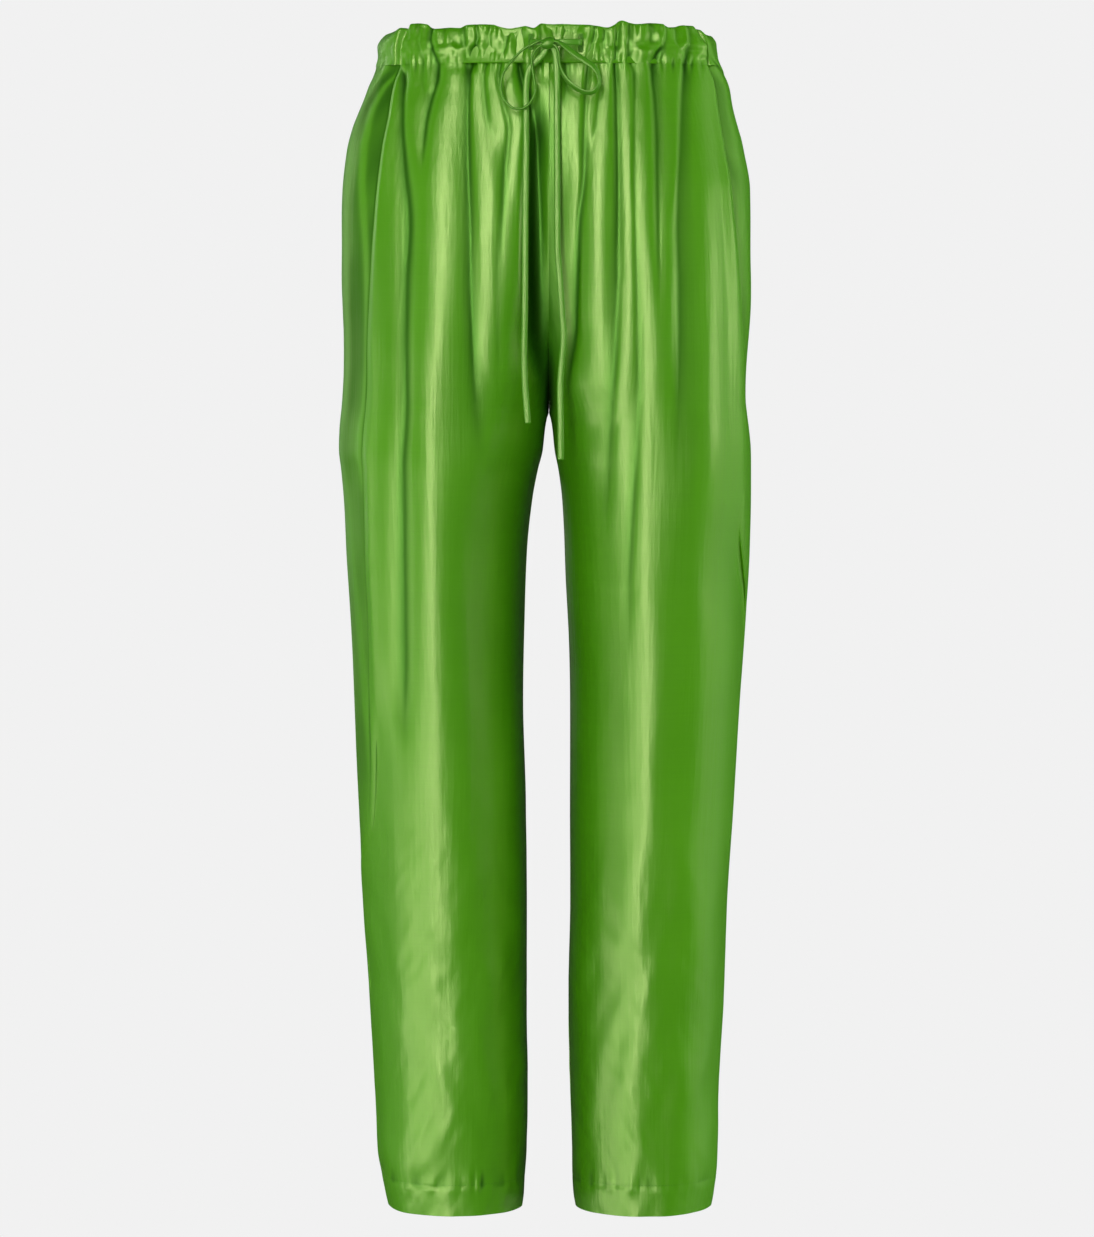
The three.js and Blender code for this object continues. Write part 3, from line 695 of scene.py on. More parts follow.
def stitch_puckers(x: Array, z: Array, seed: float) -> Array:
    """Short puckers and the shallow pinch at the casing's stitch line, the same above and below.

    Args:
        x: distance from the centre line.
        z: heights.
        seed: number that shifts the waves.

    Returns:
        Heights.
    """
    away = z - CASING_BOTTOM
    wave = np.sin(0.85 * x + 1.6 * np.sin(0.19 * x + seed)) + 0.5 * np.sin(1.6 * x + 2 * seed)
    wave = wave * (0.6 + 0.4 * np.sin(0.11 * x + 2 * seed))
    return 0.42 * wave * np.exp(-((away / 8.5) ** 2)) - 0.10 * np.exp(-((away / 3.0) ** 2))


def stitched_painted_shade(pleats: PleatField, x: Array, z: Array, seed: float) -> Array:
    """Painted shade of a crease, fuller at the gathers and broken up by the puckers at the stitch line.
    """
    near = np.exp(-(((z - CASING_BOTTOM) / 9.0) ** 2))
    return pleats.painted_shade(x, z) * gather(z) - near * (1.5 * stitch_puckers(x, z, seed) + 0.12)


def ripple(x: Array, z: Array, seed: float) -> Array:
    """Slow uneven waves, about -1 to 1, that run mostly along the cloth's length.

    Args:
        x: distance from the centre line.
        z: heights.
        seed: number that shifts the waves.

    Returns:
        Values from about -1 to 1.
    """
    return (
        0.55 * np.sin(0.085 * x + 0.0042 * z + 1.3 * seed + 0.8 * np.sin(0.009 * z + seed))
        + 0.3 * np.sin(0.152 * x - 0.0075 * z + 2.1 * seed + 0.6 * np.sin(0.015 * z - seed))
        + 0.15 * np.sin(0.29 * x + 0.009 * z + 0.7 * seed)
    )


def crumple(x: Array, z: Array, cell: tuple[float, float], seed: int) -> Array:
    """Smooth uneven bumps, about -1 to 1, on cells of the given width and height.

    Args:
        x: distance from the centre line.
        z: heights.
        cell: width and height of a bump, in millimetres.
        seed: number of the random pattern.

    Returns:
        Values from about -1 to 1.
    """
    values = np.random.default_rng(seed).uniform(-1.0, 1.0, (97, 97))
    u, v = x / cell[0] + 40.0, z / cell[1] + 48.0
    column, row = np.floor(u).astype(int), np.floor(v).astype(int)
    fx, fz = u - column, v - row
    fx, fz = fx * fx * (3 - 2 * fx), fz * fz * (3 - 2 * fz)
    c0, r0, c1, r1 = column % 97, row % 97, (column + 1) % 97, (row + 1) % 97
    low = values[r0, c0] * (1 - fx) + values[r0, c1] * fx
    high = values[r1, c0] * (1 - fx) + values[r1, c1] * fx
    return low * (1 - fz) + high * fz


def leg_crumples(x: Array, z: Array, seed: int) -> Array:
    """Soft crumples of the legs: faint above, livelier and shorter toward the hem.

    Args:
        x: distance from the centre line.
        z: heights.
        seed: number of the random pattern.

    Returns:
        Heights.
    """
    low = smooth(-560, -900, z)
    lean = x + 0.10 * z
    total = (0.45 + 1.15 * low) * crumple(lean, z, (27.0, 95.0), seed)
    total += (0.12 + 0.78 * low) * crumple(x - 0.25 * z, z, (13.0, 46.0), seed + 1)
    total += 0.36 * low * crumple(x + 0.4 * z, z, (7.0, 19.0), seed + 2)
    return total * smooth(-40, -150, z)


# ------------------------------------------------------------------------------ mesh helpers
def new_object(name: str, points: Array, faces: list[tuple[int, ...]]) -> Piece:
    """A smooth-shaded mesh object from points in millimetres.

    Args:
        name: the object's name.
        points: array of points in millimetres.
        faces: corner indices of each face.

    Returns:
        The linked object.
    """
    mesh = bpy.data.meshes.new(name)
    mesh.from_pydata((points * MM).tolist(), [], faces)
    mesh.validate()
    mesh.shade_smooth()
    obj = bpy.data.objects.new(name, mesh)
    bpy.context.scene.collection.objects.link(obj)
    return obj


def set_uv(obj: Piece, uv: Array) -> None:
    """Stores one UV pair for each vertex, in metres of cloth.

    Args:
        obj: the mesh object.
        uv: one pair for each vertex.
    """
    mesh = obj.data
    layer = mesh.uv_layers.new(name="cloth")
    corners = np.empty(len(mesh.loops), np.int32)
    mesh.loops.foreach_get("vertex_index", corners)
    layer.data.foreach_set("uv", uv[corners].astype(np.float32).ravel())


def set_painted_shade(obj: Piece, values: Array) -> None:
    """Stores the painted shade of each vertex of the right side, deepest in the creases; the rest stays
    0.

    Args:
        obj: the mesh object.
        values: one value for each vertex of the right side, which come first.
    """
    layer = obj.data.attributes.new("painted_shade", "FLOAT", "POINT")
    full = np.zeros(len(obj.data.vertices), np.float32)
    full[:len(values)] = values
    layer.data.foreach_set("value", full)


def volume_sign(points: Array, faces: Array) -> float:
    """Positive where the quads' normals point out of the closed mesh.

    Args:
        points: the mesh's points.
        faces: corner indices of the quads.

    Returns:
        Six times the enclosed volume, with the sign of the way the quads turn.
    """
    a, b, c = points[faces[:, 0]], points[faces[:, 1]], points[faces[:, 2]]
    d = points[faces[:, 3]]
    first = np.einsum("ij,ij->i", a, np.cross(b, c)).sum()
    return first + np.einsum("ij,ij->i", a, np.cross(c, d)).sum()


def faces_outward(points: Array, quads: Array, caps: Sequence[Array] = ()) -> list[list[int]]:
    """Faces of a closed mesh, turned so that every normal points out of it.

    Args:
        points: the mesh's points.
        quads: corner indices of the four-sided faces, all turned the same way.
        caps: corner indices of any end faces, turned the way of the quads.

    Returns:
        Corner indices of each face.
    """
    faces = quads.tolist() + [cap.tolist() for cap in caps]
    return faces if volume_sign(points, quads) > 0 else [face[::-1] for face in faces]


@dataclass
class Shell:
    """A thin closed sheet of cloth from a grid of outer and inner points."""

    name: str
    outer: Array
    inner: Array
    cloth: Array

    def build(self) -> Piece:
        """Joins both faces with a rounded rim; the inner face takes material slot 1.

        Returns:
            The linked object.
        """
        rows, columns = self.outer.shape[:2]
        count = rows * columns
        ids = np.arange(count).reshape(rows, columns)
        quads = np.stack([ids[:-1, :-1], ids[:-1, 1:], ids[1:, 1:], ids[1:, :-1]], -1).reshape(-1, 4)
        border = np.concatenate([ids[0, :-1], ids[:-1, -1], ids[-1, :0:-1], ids[:0:-1, 0]])
        outer, inner = self.outer.reshape(-1, 3), self.inner.reshape(-1, 3)
        middle = (outer[border] + inner[border]) / 2 + self.outward(border, rows, columns)
        points = np.concatenate([outer, inner, middle])
        rim = np.arange(len(border)) + 2 * count
        ahead = np.roll(np.arange(len(border)), -1)
        first = np.stack([border[ahead], border, rim, rim[ahead]], -1)
        second = np.stack([rim[ahead], rim, border + count, border[ahead] + count], -1)
        faces = faces_outward(points, np.concatenate([quads, quads[:, ::-1] + count, first, second]))
        obj = new_object(self.name, points, faces)
        cloth = self.cloth.reshape(-1, 2)
        set_uv(obj, np.concatenate([cloth, cloth, cloth[border]]))
        slots = np.zeros(len(faces), np.int32)
        slots[len(quads):2 * len(quads)] = 1
        obj.data.polygons.foreach_set("material_index", slots)
        return obj

    def outward(self, border: Array, rows: int, columns: int) -> Array:
        """Small step from the grid's edge away from the sheet, which rounds the rim.

        Args:
            border: indices of the edge's points.
            rows: rows of the grid.
            columns: columns of the grid.

        Returns:
            One step for each point of the edge.
        """
        grid = (self.outer + self.inner).reshape(rows, columns, 3) / 2
        away = np.zeros((rows, columns, 3))
        away[0] += grid[0] - grid[1]
        away[-1] += grid[-1] - grid[-2]
        away[:, 0] += grid[:, 0] - grid[:, 1]
        away[:, -1] += grid[:, -1] - grid[:, -2]
        step = away.reshape(-1, 3)[border]
        length = np.linalg.norm(step, axis=1, keepdims=True)
        thick = np.linalg.norm((self.outer - self.inner).reshape(-1, 3)[border], axis=1, keepdims=True)
        return step / np.maximum(length, 1e-6) * np.minimum(0.3 * thick, 0.12)


# ------------------------------------------------------------------------------ panels
@dataclass(frozen=True)
class SeamShade:
    """Shade on the back beside one side seam; distances run back from the front's edge.

    under is the darkest value close under the edge, full up to near and gone at far; ends holds
    the heights between which all of it fades out. strip is the shade of the strip beside the
    seam, which fades over reach; low is the share of it left below the heights in low_span.
    """

    under: float
    near: float
    far: float
    ends: tuple[float, float]
    strip: float
    reach: tuple[float, float]
    low: float
    low_span: tuple[float, float]


SEAM_SHADES = {
    R: SeamShade(1.1, 3.0, 5.6, (-720, -600), 0.95, (34.0, 60.0), 0.55, (-400, -320)),
    L: SeamShade(0.9, 0.8, 2.9, (-440, -370), 0.45, (12.0, 30.0), 0.0, (-380, -300)),
}

# The two bright ridges of that strip, kept clear of its painted shade, and the darkest run of the
# valley's painted shade: (distance, z).
STRIP_OUTER = (
    (147, 5), (154, -15), (164, -50), (172, -80), (179, -112), (186, -200), (188, -300), (188, -560),
)
STRIP_INNER = (
    (161, 5), (166, -15), (176, -50), (188, -80), (195, -112), (203, -200), (206, -300), (207, -560),
)
VALLEY_RUN = ((8, -30), (11, -80), (13, -120), (12, -170), (9, -230), (4, -330))


@dataclass
class Panel:
    """A front or back panel of one leg, from the casing's stitch line to the turned hem."""

    form: BodyForm
    side: Side
    face: Face
    pleats: PleatField
    columns: int = 150
    cloth_wall: float = 0.9
    hem_wall: float = 1.9
    lap_rise: float = 1.0
    under_dip: float = 0.8
    # share of the columns laid out evenly, and the turn in degrees that they don't run past
    even: float = 0.88
    even_end: float = 150.0

    @property
    def in_front(self) -> bool:
        """Whether this is a front panel."""
        return self.face is Face.FRONT

    @property
    def name(self) -> str:
        """The panel's name, which is also the name of its solid."""
        return f"{self.face.name.lower()}_{self.side.name.lower()}"

    @property
    def seed(self) -> float:
        """Number that sets the panel's small uneven waves apart from the others'."""
        return 1.7 * self.side.value + 0.9 * self.face.value

    def heights(self) -> Array:
        """Levels of the mesh rows, closer together at the gathers and at the hem.

        Returns:
            Heights from top to bottom, in millimetres.
        """
        levels, z = [], CASING_BOTTOM - 0.03
        while z > HEM_Z + 0.6:
            levels.append(z)
            step = 1.7 + 2.7 * float(smooth(60, 380, -z))
            step -= 2.9 * float(smooth(0, 30, -z - 985))
            z -= step
        levels.insert(1, levels[0] - 0.12)
        return np.array(levels + [HEM_Z + 0.12, HEM_Z])

    def relief(self, x: Array, z: Array, place: Array) -> Array:
        """Height of folds, puckers and ripples over the smooth form.

        Args:
            x: distance from the centre line.
            z: heights.
            place: shares of the way across, from the side seam.

        Returns:
            Heights.
        """
        total = self.pleats(x, z) * gather(z)
        seed = self.seed
        near_seams = smooth(0.0, 0.05, place) * smooth(0.0, 0.05, 1 - place)
        total += 0.22 * ripple(x, z, seed) * near_seams
        total += leg_crumples(x, z, 11 + 3 * self.side.value + 7 * self.face.value)
        total += self.puckers(x, z, seed)
        total += self.hem_relief(x, z, seed)
        centre_open = smooth(0.0, 12.0, z - CROTCH_Z)
        front, back = 0.25 + 0.75 * smooth(0.0, 0.05, place), smooth(0.03, 0.13, place)
        beside_side_seam = front if self.in_front else back
        beside_inseam = np.maximum(smooth(0.0, 0.05, 1 - place), centre_open)
        return total * beside_side_seam * (0.25 + 0.75 * beside_inseam)

    def strip_shade(self, x: Array, z: Array) -> Array:
        """Shade of the strip beside the side seam, clear along its two ridges.

        Args:
            x: distance from the centre line.
            z: heights.

        Returns:
            Values from 0 to 1.
        """
        shade = SEAM_SHADES[self.side]
        outer, inner = path_line(STRIP_OUTER)(z), path_line(STRIP_INNER)(z)
        clear = np.exp(-(((x - outer) / 3.2) ** 2)) + np.exp(-(((x - inner) / 2.2) ** 2))
        patchy = 0.8 + 0.35 * crumple(x, z, (12.0, 34.0), 51)
        upper = shade.low + (1 - shade.low) * smooth(*shade.low_span, z)
        return shade.strip * upper * np.clip(patchy - 1.1 * clear, 0.0, 1.0)

    def valley(self, x: Array, z: Array) -> Array:
        """How deep the middle of the front lies in shade, over 1 at its darkest.

        Args:
            x: distance from the centre line.
            z: heights.

        Returns:
            Values from 0 to 1.6.
        """
        low = smooth(-220, -300, z) * smooth(-380, -325, z)
        run = smooth(-30, -80, z) * smooth(-340, -270, z)
        crotch = 1.6 * low * np.exp(-((x / 6.0) ** 2))
        if self.side is Side.RIGHT:
            deepest = path_line(VALLEY_RUN)(z)
            return np.maximum(1.5 * run * np.exp(-(((x - deepest) / 8.0) ** 2)), crotch)
        return np.maximum(0.7 * run * np.exp(-((x / 13.0) ** 2)), crotch)

    def puckers(self, x: Array, z: Array, seed: float) -> Array:
        """Short sharp puckers just under the casing's stitch line."""
        return stitch_puckers(x, z, seed) * (z < CASING_BOTTOM)

    def hem_relief(self, x: Array, z: Array, seed: float) -> Array:
        """The turned hem: a fine groove at its stitches, puckers above and a fuller edge below.

        Args:
            x: distance from the centre line.
            z: heights.
            seed: the panel's number.

        Returns:
            Heights.
        """
        line = HEM_Z + HEM_DEPTH + 1.6 * crumple(x, 0 * z, (21.0, 50.0), 17)
        number = 5 + int(10 * abs(seed))
        wave = crumple(x, z, (3.7, 60.0), number) + 0.5 * crumple(x, z, (8.0, 30.0), number + 1)
        lively = 0.55 + 0.6 * crumple(x, z, (24.0, 400.0), 9)
        spread = np.where(z > line, 12.0, 6.0)
        puckers = 0.9 * wave * np.clip(lively, 0.5, 1.0) * np.exp(-((z - line) / spread) ** 2)
        groove = -0.14 * (0.6 + 0.4 * wave) * np.exp(-((z - line) / 1.6) ** 2)
        fuller = 0.3 * smooth(0, 5, line - z)
        return puckers + groove + fuller

    def places(self) -> Array:
        """Shares of the way across at which the mesh columns lie, closer at both seams."""
        place = np.linspace(0.0, 1.0, self.columns)
        return np.sort(np.append(place - 0.018 * np.sin(2 * np.pi * place), [0.0006, 0.9994]))[None, :]

    def seam_start(self, z: Array) -> Array:
        """Turn of the panel's edge at the side seam; the back runs on under the front."""
        seam = self.form.seam_angle(self.side, z)
        return -seam if self.in_front else -seam - UNDERLAP * self.form.degrees_per_mm(self.side, z)

    def angles(self, z: Array, place: Array) -> Array:
        """Turn of each mesh point, in degrees from the widest point.

        Args:
            z: heights of the rows.
            place: shares of the way across, from the side seam to the centre or the inseam.

        Returns:
            Angles, one row for each height; the inner columns take up the jump at the crotch.
        """
        form, side = self.form, self.side
        start, inner = self.seam_start(z), form.inner_angle(side, z)
        end = -inner if self.in_front else inner
        gap = np.where(z <= CROTCH_Z, 0.03 * form.degrees_per_mm(side, z) * np.sign(end), 0.0)
        near = start + self.even * (end - start)
        near = np.sign(end) * np.minimum(np.abs(near), self.even_end)
        return np.where(
            place < self.even,
            start + (near - start) * place / self.even,
            near + (end - gap - near) * (place - self.even) / (1 - self.even),
        )

    def lap(self, place: Array, z: Array, from_edge: Array) -> Array:
        """Stand-off beside the side seam, where the front laps over and the back dips under.

        Args:
            place: shares of the way across.
            z: heights.
            from_edge: distance from the panel's own edge.

        Returns:
            Distances outward, in millimetres.
        """
        if self.in_front:
            rise = self.lap_rise + self.form.slack(self.side, z)
            return rise * (1 - smooth(0.01, 0.12, place))
        return -self.under_dip * (1 - smooth(UNDERLAP, UNDERLAP + 7.0, from_edge))

    def shade(self, x: Array, z: Array, from_edge: Array) -> Array:
        """How deep in a crease or in shade each point of the right side lies.

        Args:
            x: distance from the centre line.
            z: heights.
            from_edge: distance from the panel's own edge at the side seam.

        Returns:
            Values from 0 in the open to about 1.6 in the darkest places.
        """
        # painted shade: the creases, the hem's pucker troughs, the front's valley and the back beside the
        # side seam are darkened in the base colour
        painted_shade = np.clip(stitched_painted_shade(self.pleats, x, z, self.seed), 0.0, 1.3)
        painted_shade = np.maximum(painted_shade, -1.5 * self.hem_relief(x, z, self.seed) - 0.15)
        if self.in_front:
            return np.maximum(painted_shade, self.valley(x, z))
        shade, slack = SEAM_SHADES[self.side], self.form.slack(self.side, z)
        covered = from_edge - UNDERLAP
        edge = 1 - smooth(shade.near + 0.5 * slack, shade.far + 2.0 * slack, covered)
        under = (shade.under + 0.22 * slack) * edge
        strip = self.strip_shade(x, z) * (1 - smooth(*shade.reach, covered))
        return np.maximum(painted_shade, np.maximum(under, strip) * smooth(*shade.ends, z))

    def build(self) -> Piece:
        """Lays the grid on the form, raises the folds and closes the sheet.

        Returns:
            The panel's mesh object.
        """
        form, side = self.form, self.side
        z, place = self.heights()[:, None], self.places()
        angle = self.angles(z, place)
        level, across = np.broadcast_to(z, angle.shape), np.broadcast_to(place, angle.shape)
        from_edge = (angle - self.seam_start(z)) / form.degrees_per_mm(side, z)
        x = form.from_centre(side, self.face, angle, level)
        off = self.relief(x, level, across) + self.lap(across, level, from_edge)
        thick = np.where(level <= HEM_Z + HEM_DEPTH, self.hem_wall, self.cloth_wall)
        faces = [form.surface(side, angle, level, away) for away in (off, off - thick)]
        pinned = smooth(0.84, 1.0, across) * smooth(-1.0, 1.0, level - CROTCH_Z)
        plain = form.surface(side, angle, level, np.zeros_like(angle))
        for grid in faces:
            grid[..., 0] += (plain[..., 0] - grid[..., 0]) * pinned
        cloth = np.stack([across * 0.25, level * MM], -1)
        obj = Shell(self.name + "_cloth", faces[0], faces[1], cloth).build()
        set_painted_shade(obj, self.shade(x, level, from_edge).ravel())
        return obj

    def dress(self, obj: Piece, right_side: Material, wrong_side: Material) -> None:
        """Args:
            obj: the panel's mesh object.
            right_side: finish of the outside.
            wrong_side: finish of the inside.
        """
        obj.data.materials.append(right_side)
        obj.data.materials.append(wrong_side)
        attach(obj, BODY)
        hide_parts(self.name)
        casing = f"casing_{self.face.name.lower()}"


# ------------------------------------------------------------------------------ waist casing
@dataclass
class Casing:
    """A gathered strip round the elastic, front or back, as one puffed closed band."""

    form: BodyForm
    face: Face
    pleats: dict[Side, PleatField]
    columns: int = 310
    puff: float = 1.9
    depth: float = 3.4
    pouch: tuple[float, float] = (12.0, 16.0)
    pouch_height: float = 2.6
    crease: tuple[float, float] = (5.0, 7.0)
    crease_height: float = 0.9
    # shares of height, of puff and of depth round the band's section, outside first
    outline: tuple[tuple[float, float, float], ...] = (
        (0.0, 0.0, 0.0), (0.003, 0.0, 0.0), (0.03, 0.04, 0.0), (0.08, 0.13, 0.0), (0.16, 0.32, 0.0),
        (0.26, 0.58, 0.0), (0.38, 0.82, 0.0), (0.5, 0.97, 0.0), (0.62, 1.0, 0.0),
        (0.74, 0.94, 0.0), (0.84, 0.8, 0.0),
        (0.92, 0.55, 0.0), (0.97, 0.2, 0.0), (1.0, -0.3, 0.05), (0.99, -0.3, 0.35), (0.93, -0.2, 0.7),
        (0.8, 0.0, 0.95), (0.6, 0.0, 1.0), (0.4, 0.0, 1.0), (0.2, 0.0, 0.85), (0.06, 0.0, 0.6),
        (0.0, 0.0, 0.4), (0.0, 0.0, 0.04),
    )

    @property
    def name(self) -> str:
        """The casing's name, which is also the name of its solid."""
        return f"casing_{self.face.name.lower()}"

    def top(self, x: Array) -> Array:
        """Height of the folded top edge: listed in front, uneven waves behind.

        Args:
            x: place from side to side, in millimetres.

        Returns:
            Heights.
        """
        if self.face is Face.FRONT:
            return Profile(*zip(*TOP_EDGE))(x)
        wave = np.sin(0.21 * x + 1.2 * np.sin(0.05 * x)) + 0.5 * np.sin(0.47 * x + 1.0)
        return CASING_TOP + 0.8 + 1.3 * wave - 5.0 * smooth(128, 146, np.abs(x))

    def half(self, side: Side) -> tuple[Array, Array, Array]:
        """Section loops of one half from side seam to centre line, their cloth places and painted shade.

        Args:
            side: the half.

        Returns:
            Points in millimetres, places on the cloth in metres, and painted shade values, deepest in the
            creases.
        """
        form, toward = self.form, self.face.value
        seam = float(form.seam_angle(side, 0.0))
        angles = np.linspace(-seam + 0.06 * toward, 90.0 * toward, self.columns)[:, None]
        outline = self.refine(np.array(self.outline))
        height, puff, depth = (outline[:, k][None] for k in range(3))
        flat = np.zeros_like(angles)
        level = form.surface(side, angles, flat, flat)[:, 0]
        run = np.concatenate([[0.0], np.cumsum(np.linalg.norm(np.diff(level, axis=0), axis=1))])
        from_centre = (run[-1] - run)[:, None]
        z = CASING_BOTTOM + (self.top(level[:, :1]) - CASING_BOTTOM) * height
        turned = np.broadcast_to(angles, z.shape)
        x = form.from_centre(side, self.face, turned, z)
        outside = 1.0 - smooth(0.0, 0.3, depth)
        ends = smooth(0, 4, run[:, None])
        relief = self.relief(side, x, z, turned) + self.tucks(x, height, self.seed(side))
        off = puff * self.puff + relief * outside * ends - depth * self.depth
        points = form.surface(side, turned, z, off)
        cloth = np.stack([np.broadcast_to(from_centre * MM * 1.6, z.shape), z * MM], -1)
        return points, cloth, self.shade(side, x, z) * outside

    def seed(self, side: Side) -> float:
        """Number that sets one half's small waves apart; the panel below it has the same."""
        return 1.7 * side.value + 0.9 * self.face.value

    def pouches(self, side: Side, x: Array, z: Array, finer: int = 0) -> Array:
        """Uneven bumps of one half between the gathers, large ones or the finer ones between them."""
        number = 31 + 3 * side.value + 7 * self.face.value
        return crumple(x, z, self.crease if finer else self.pouch, number + finer)

    def relief(self, side: Side, x: Array, z: Array, turned: Array) -> Array:
        """Height of the gathers, puckers and pouches over the puffed band.

        Args:
            side: the half.
            x: distance from the centre line.
            z: heights.
            turned: degrees from the widest point, where one wide pouch sits over a deep tuck.

        Returns:
            Heights.
        """
        relief = self.pleats[side](x, z) * gather(z) + stitch_puckers(x, z, self.seed(side))
        large, small = self.pouches(side, x, z), self.pouches(side, x, z, 1)
        relief += smooth(-22, -6, z) * (self.pouch_height * large + self.crease_height * small)
        side_pouch = 2.4 * np.exp(-(((z - 4) / 7) ** 2)) - 1.8 * np.exp(-(((z + 11) / 4.5) ** 2))
        return relief + np.exp(-((turned / 22.0) ** 2)) * side_pouch

    def shade(self, side: Side, x: Array, z: Array) -> Array:
        """Painted shade of each point, deeper in the creases and less on top of the pouches.

        Args:
            side: the half.
            x: distance from the centre line.
            z: heights.

        Returns:
            Values from 0 to 1.4.
        """
        painted_shade = stitched_painted_shade(self.pleats[side], x, z, self.seed(side))
        painted_shade -= 0.22 * smooth(-22, -6, z) * (self.pouches(side, x, z) + 0.6)
        return np.clip(painted_shade, 0.0, 1.4)

    @staticmethod
    def eased(half: Array, middle: Array) -> Array:
        """Eases the last 5 mm of one half into the section at the centre line."""
        blend = smooth(0, 5.0, np.abs(half[..., :1]))
        return half * blend + (middle[None] * [0, 1, 1] + half * [1, 0, 0]) * (1 - blend)

    @staticmethod
    def tucks(x: Array, height: Array, seed: float) -> Array:
        """Small nips that run a little way down from the top edge."""
        wave = np.sin(0.72 * x + 2.2 * np.sin(0.16 * x + seed)) + 0.6 * np.sin(1.3 * x - seed)
        return 0.5 * wave * smooth(0.62, 1.0, height) * (0.5 + 0.5 * np.sin(0.09 * x + seed))

    @staticmethod
    def refine(outline: Array) -> Array:
        """Rounds the given outline with two points between each pair.

        Args:
            outline: rows of the section.

        Returns:
            The finer rows.
        """
        count = len(outline)
        places = np.linspace(0, count - 1, 3 * (count - 1) + 1)
        return np.stack([Profile(range(count), outline[:, k])(places) for k in range(3)], -1)

    def build(self) -> Piece:
        """Joins both halves into one band, capped at the side seams.

        Returns:
            The casing's mesh object.
        """
        right, right_cloth, right_painted_shade = self.half(Side.RIGHT)
        left, left_cloth, left_painted_shade = self.half(Side.LEFT)
        middle = (right[-1] + left[-1] * np.array([-1.0, 1.0, 1.0])) / 2
        middle[:, 0] = 0.0
        right, left = self.eased(right, middle), self.eased(left, middle)
        right[-1] = middle
        points = np.concatenate([right, left[-2::-1]])
        cloth = np.concatenate([right_cloth, left_cloth[-2::-1] * np.array([-1.0, 1.0])])
        loops, size = points.shape[:2]
        ids = np.arange(loops * size).reshape(loops, size)
        ahead = np.roll(ids, -1, axis=1)
        quads = np.stack([ids[:-1], ahead[:-1], ahead[1:], ids[1:]], -1).reshape(-1, 4)
        flat = points.reshape(-1, 3)
        faces = faces_outward(flat, quads, [ids[0, ::-1], ids[-1]])
        obj = new_object(self.name + "_cloth", flat, faces)
        set_uv(obj, cloth.reshape(-1, 2))
        set_painted_shade(obj, np.concatenate([right_painted_shade, left_painted_shade[-2::-1]]).ravel())
        return obj

    def dress(self, obj: Piece, finish: Material) -> None:
        """Args:
            obj: the casing's mesh object.
            finish: its cloth.
        """
        obj.data.materials.append(finish)
        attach(obj, BODY)
        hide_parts(self.name)


# ------------------------------------------------------------------------------ drawstring
# Routes: x, y, z in millimetres and the tape's turn in degrees, 0 edge-on, 90 flat.
TIE_RIGHT = (
    (-15.8, -92.6, 0.8, 90), (-15.8, -97.5, 0.8, 90), (-13.6, -101.6, 0.8, 90),
    (-10.4, -103.6, 0.6, 90), (-7, -104.4, 0.4, 90),
)
TIE_LEFT = (
    (28, -92.2, 0.8, 90), (27.9, -97.5, 0.8, 90), (25, -101.6, 0.9, 90),
    (18, -103.8, 0.8, 90), (11, -104.4, 0.5, 90), (5.8, -104.6, 0.4, 90),
)
LOOP_RIGHT = (
    (-7, -109, 1.6, 0), (-12.3, -109, -0.5, 0), (-21.9, -109, -5.4, 0), (-28.5, -109, -11.4, 0),
    (-35.1, -109.3, -19, 0), (-39.9, -109.8, -26, 0), (-42.1, -110.4, -34.8, 0),
    (-41.7, -111.1, -43.5, 0), (-38.6, -111.8, -50.5, 0), (-32.4, -112.4, -56.6, 0),
    (-25.4, -112.5, -57.9, 0), (-18.4, -112.3, -54.4, 0), (-14, -111.7, -47.8, 0),
    (-12.3, -111, -40.9, 0), (-13.2, -110.2, -31.3, 0), (-14.9, -109.4, -21.7, 0),
    (-15.2, -109, -13.7, 0), (-12, -109, -7, 0), (-7, -109, -2.6, 0),
)
LOOP_LEFT = (
    (5.8, -109, 1.6, 10), (13, -109, -2.4, 40), (21.9, -109, -9.2, 58), (33.3, -109.6, -16.8, 58),
    (40.3, -110, -22.4, 45), (43.9, -110.4, -31.3, 30), (43, -110.8, -38.2, 30),
    (38.6, -111, -43, 40), (32.4, -111, -43.6, 45), (24.6, -110.8, -40.2, 45),
    (17.5, -110.3, -34.8, 40), (11.8, -109.7, -26.9, 25), (9, -109.2, -19, 10),
    (8.4, -109, -9.6, 0), (5.8, -109, -3, 0),
)
END_RIGHT = (
    (-3.4, -104.5, -5.6, 90), (-5, -104.2, -9.8, 90), (-10, -104.2, -15, 90),
    (-16, -104.3, -21, 90), (-19.2, -104.8, -30, 90), (-20.2, -106, -44, 90),
    (-20.2, -107.8, -60, 90), (-20.2, -111, -85, 90), (-20.5, -115, -115, 90),
    (-20.8, -118.3, -150, 90), (-21, -120, -190, 90), (-21.2, -120.5, -235, 90),
    (-21.8, -120.5, -270, 90), (-21, -120.2, -300, 90), (-18.5, -120, -333, 90),
)
END_LEFT = (
    (4, -104.5, -4.8, 90), (5.6, -104.2, -10, 90), (6.6, -104.5, -20, 90),
    (7, -105.6, -38, 90), (7, -108.2, -62, 90), (7, -111.6, -88, 90), (7.2, -115.4, -118, 90),
    (7.2, -118.5, -152, 90), (7.5, -119.8, -180, 90), (9.6, -120.3, -207, 90),
    (11.5, -120.5, -235, 90), (12.8, -120.6, -258, 90), (9.8, -120.5, -297, 90),
    (10.2, -120.3, -335, 90), (10.3, -120.2, -365, 90),
)
KNOT_CENTRE = (-0.6, -107.0, -0.4)


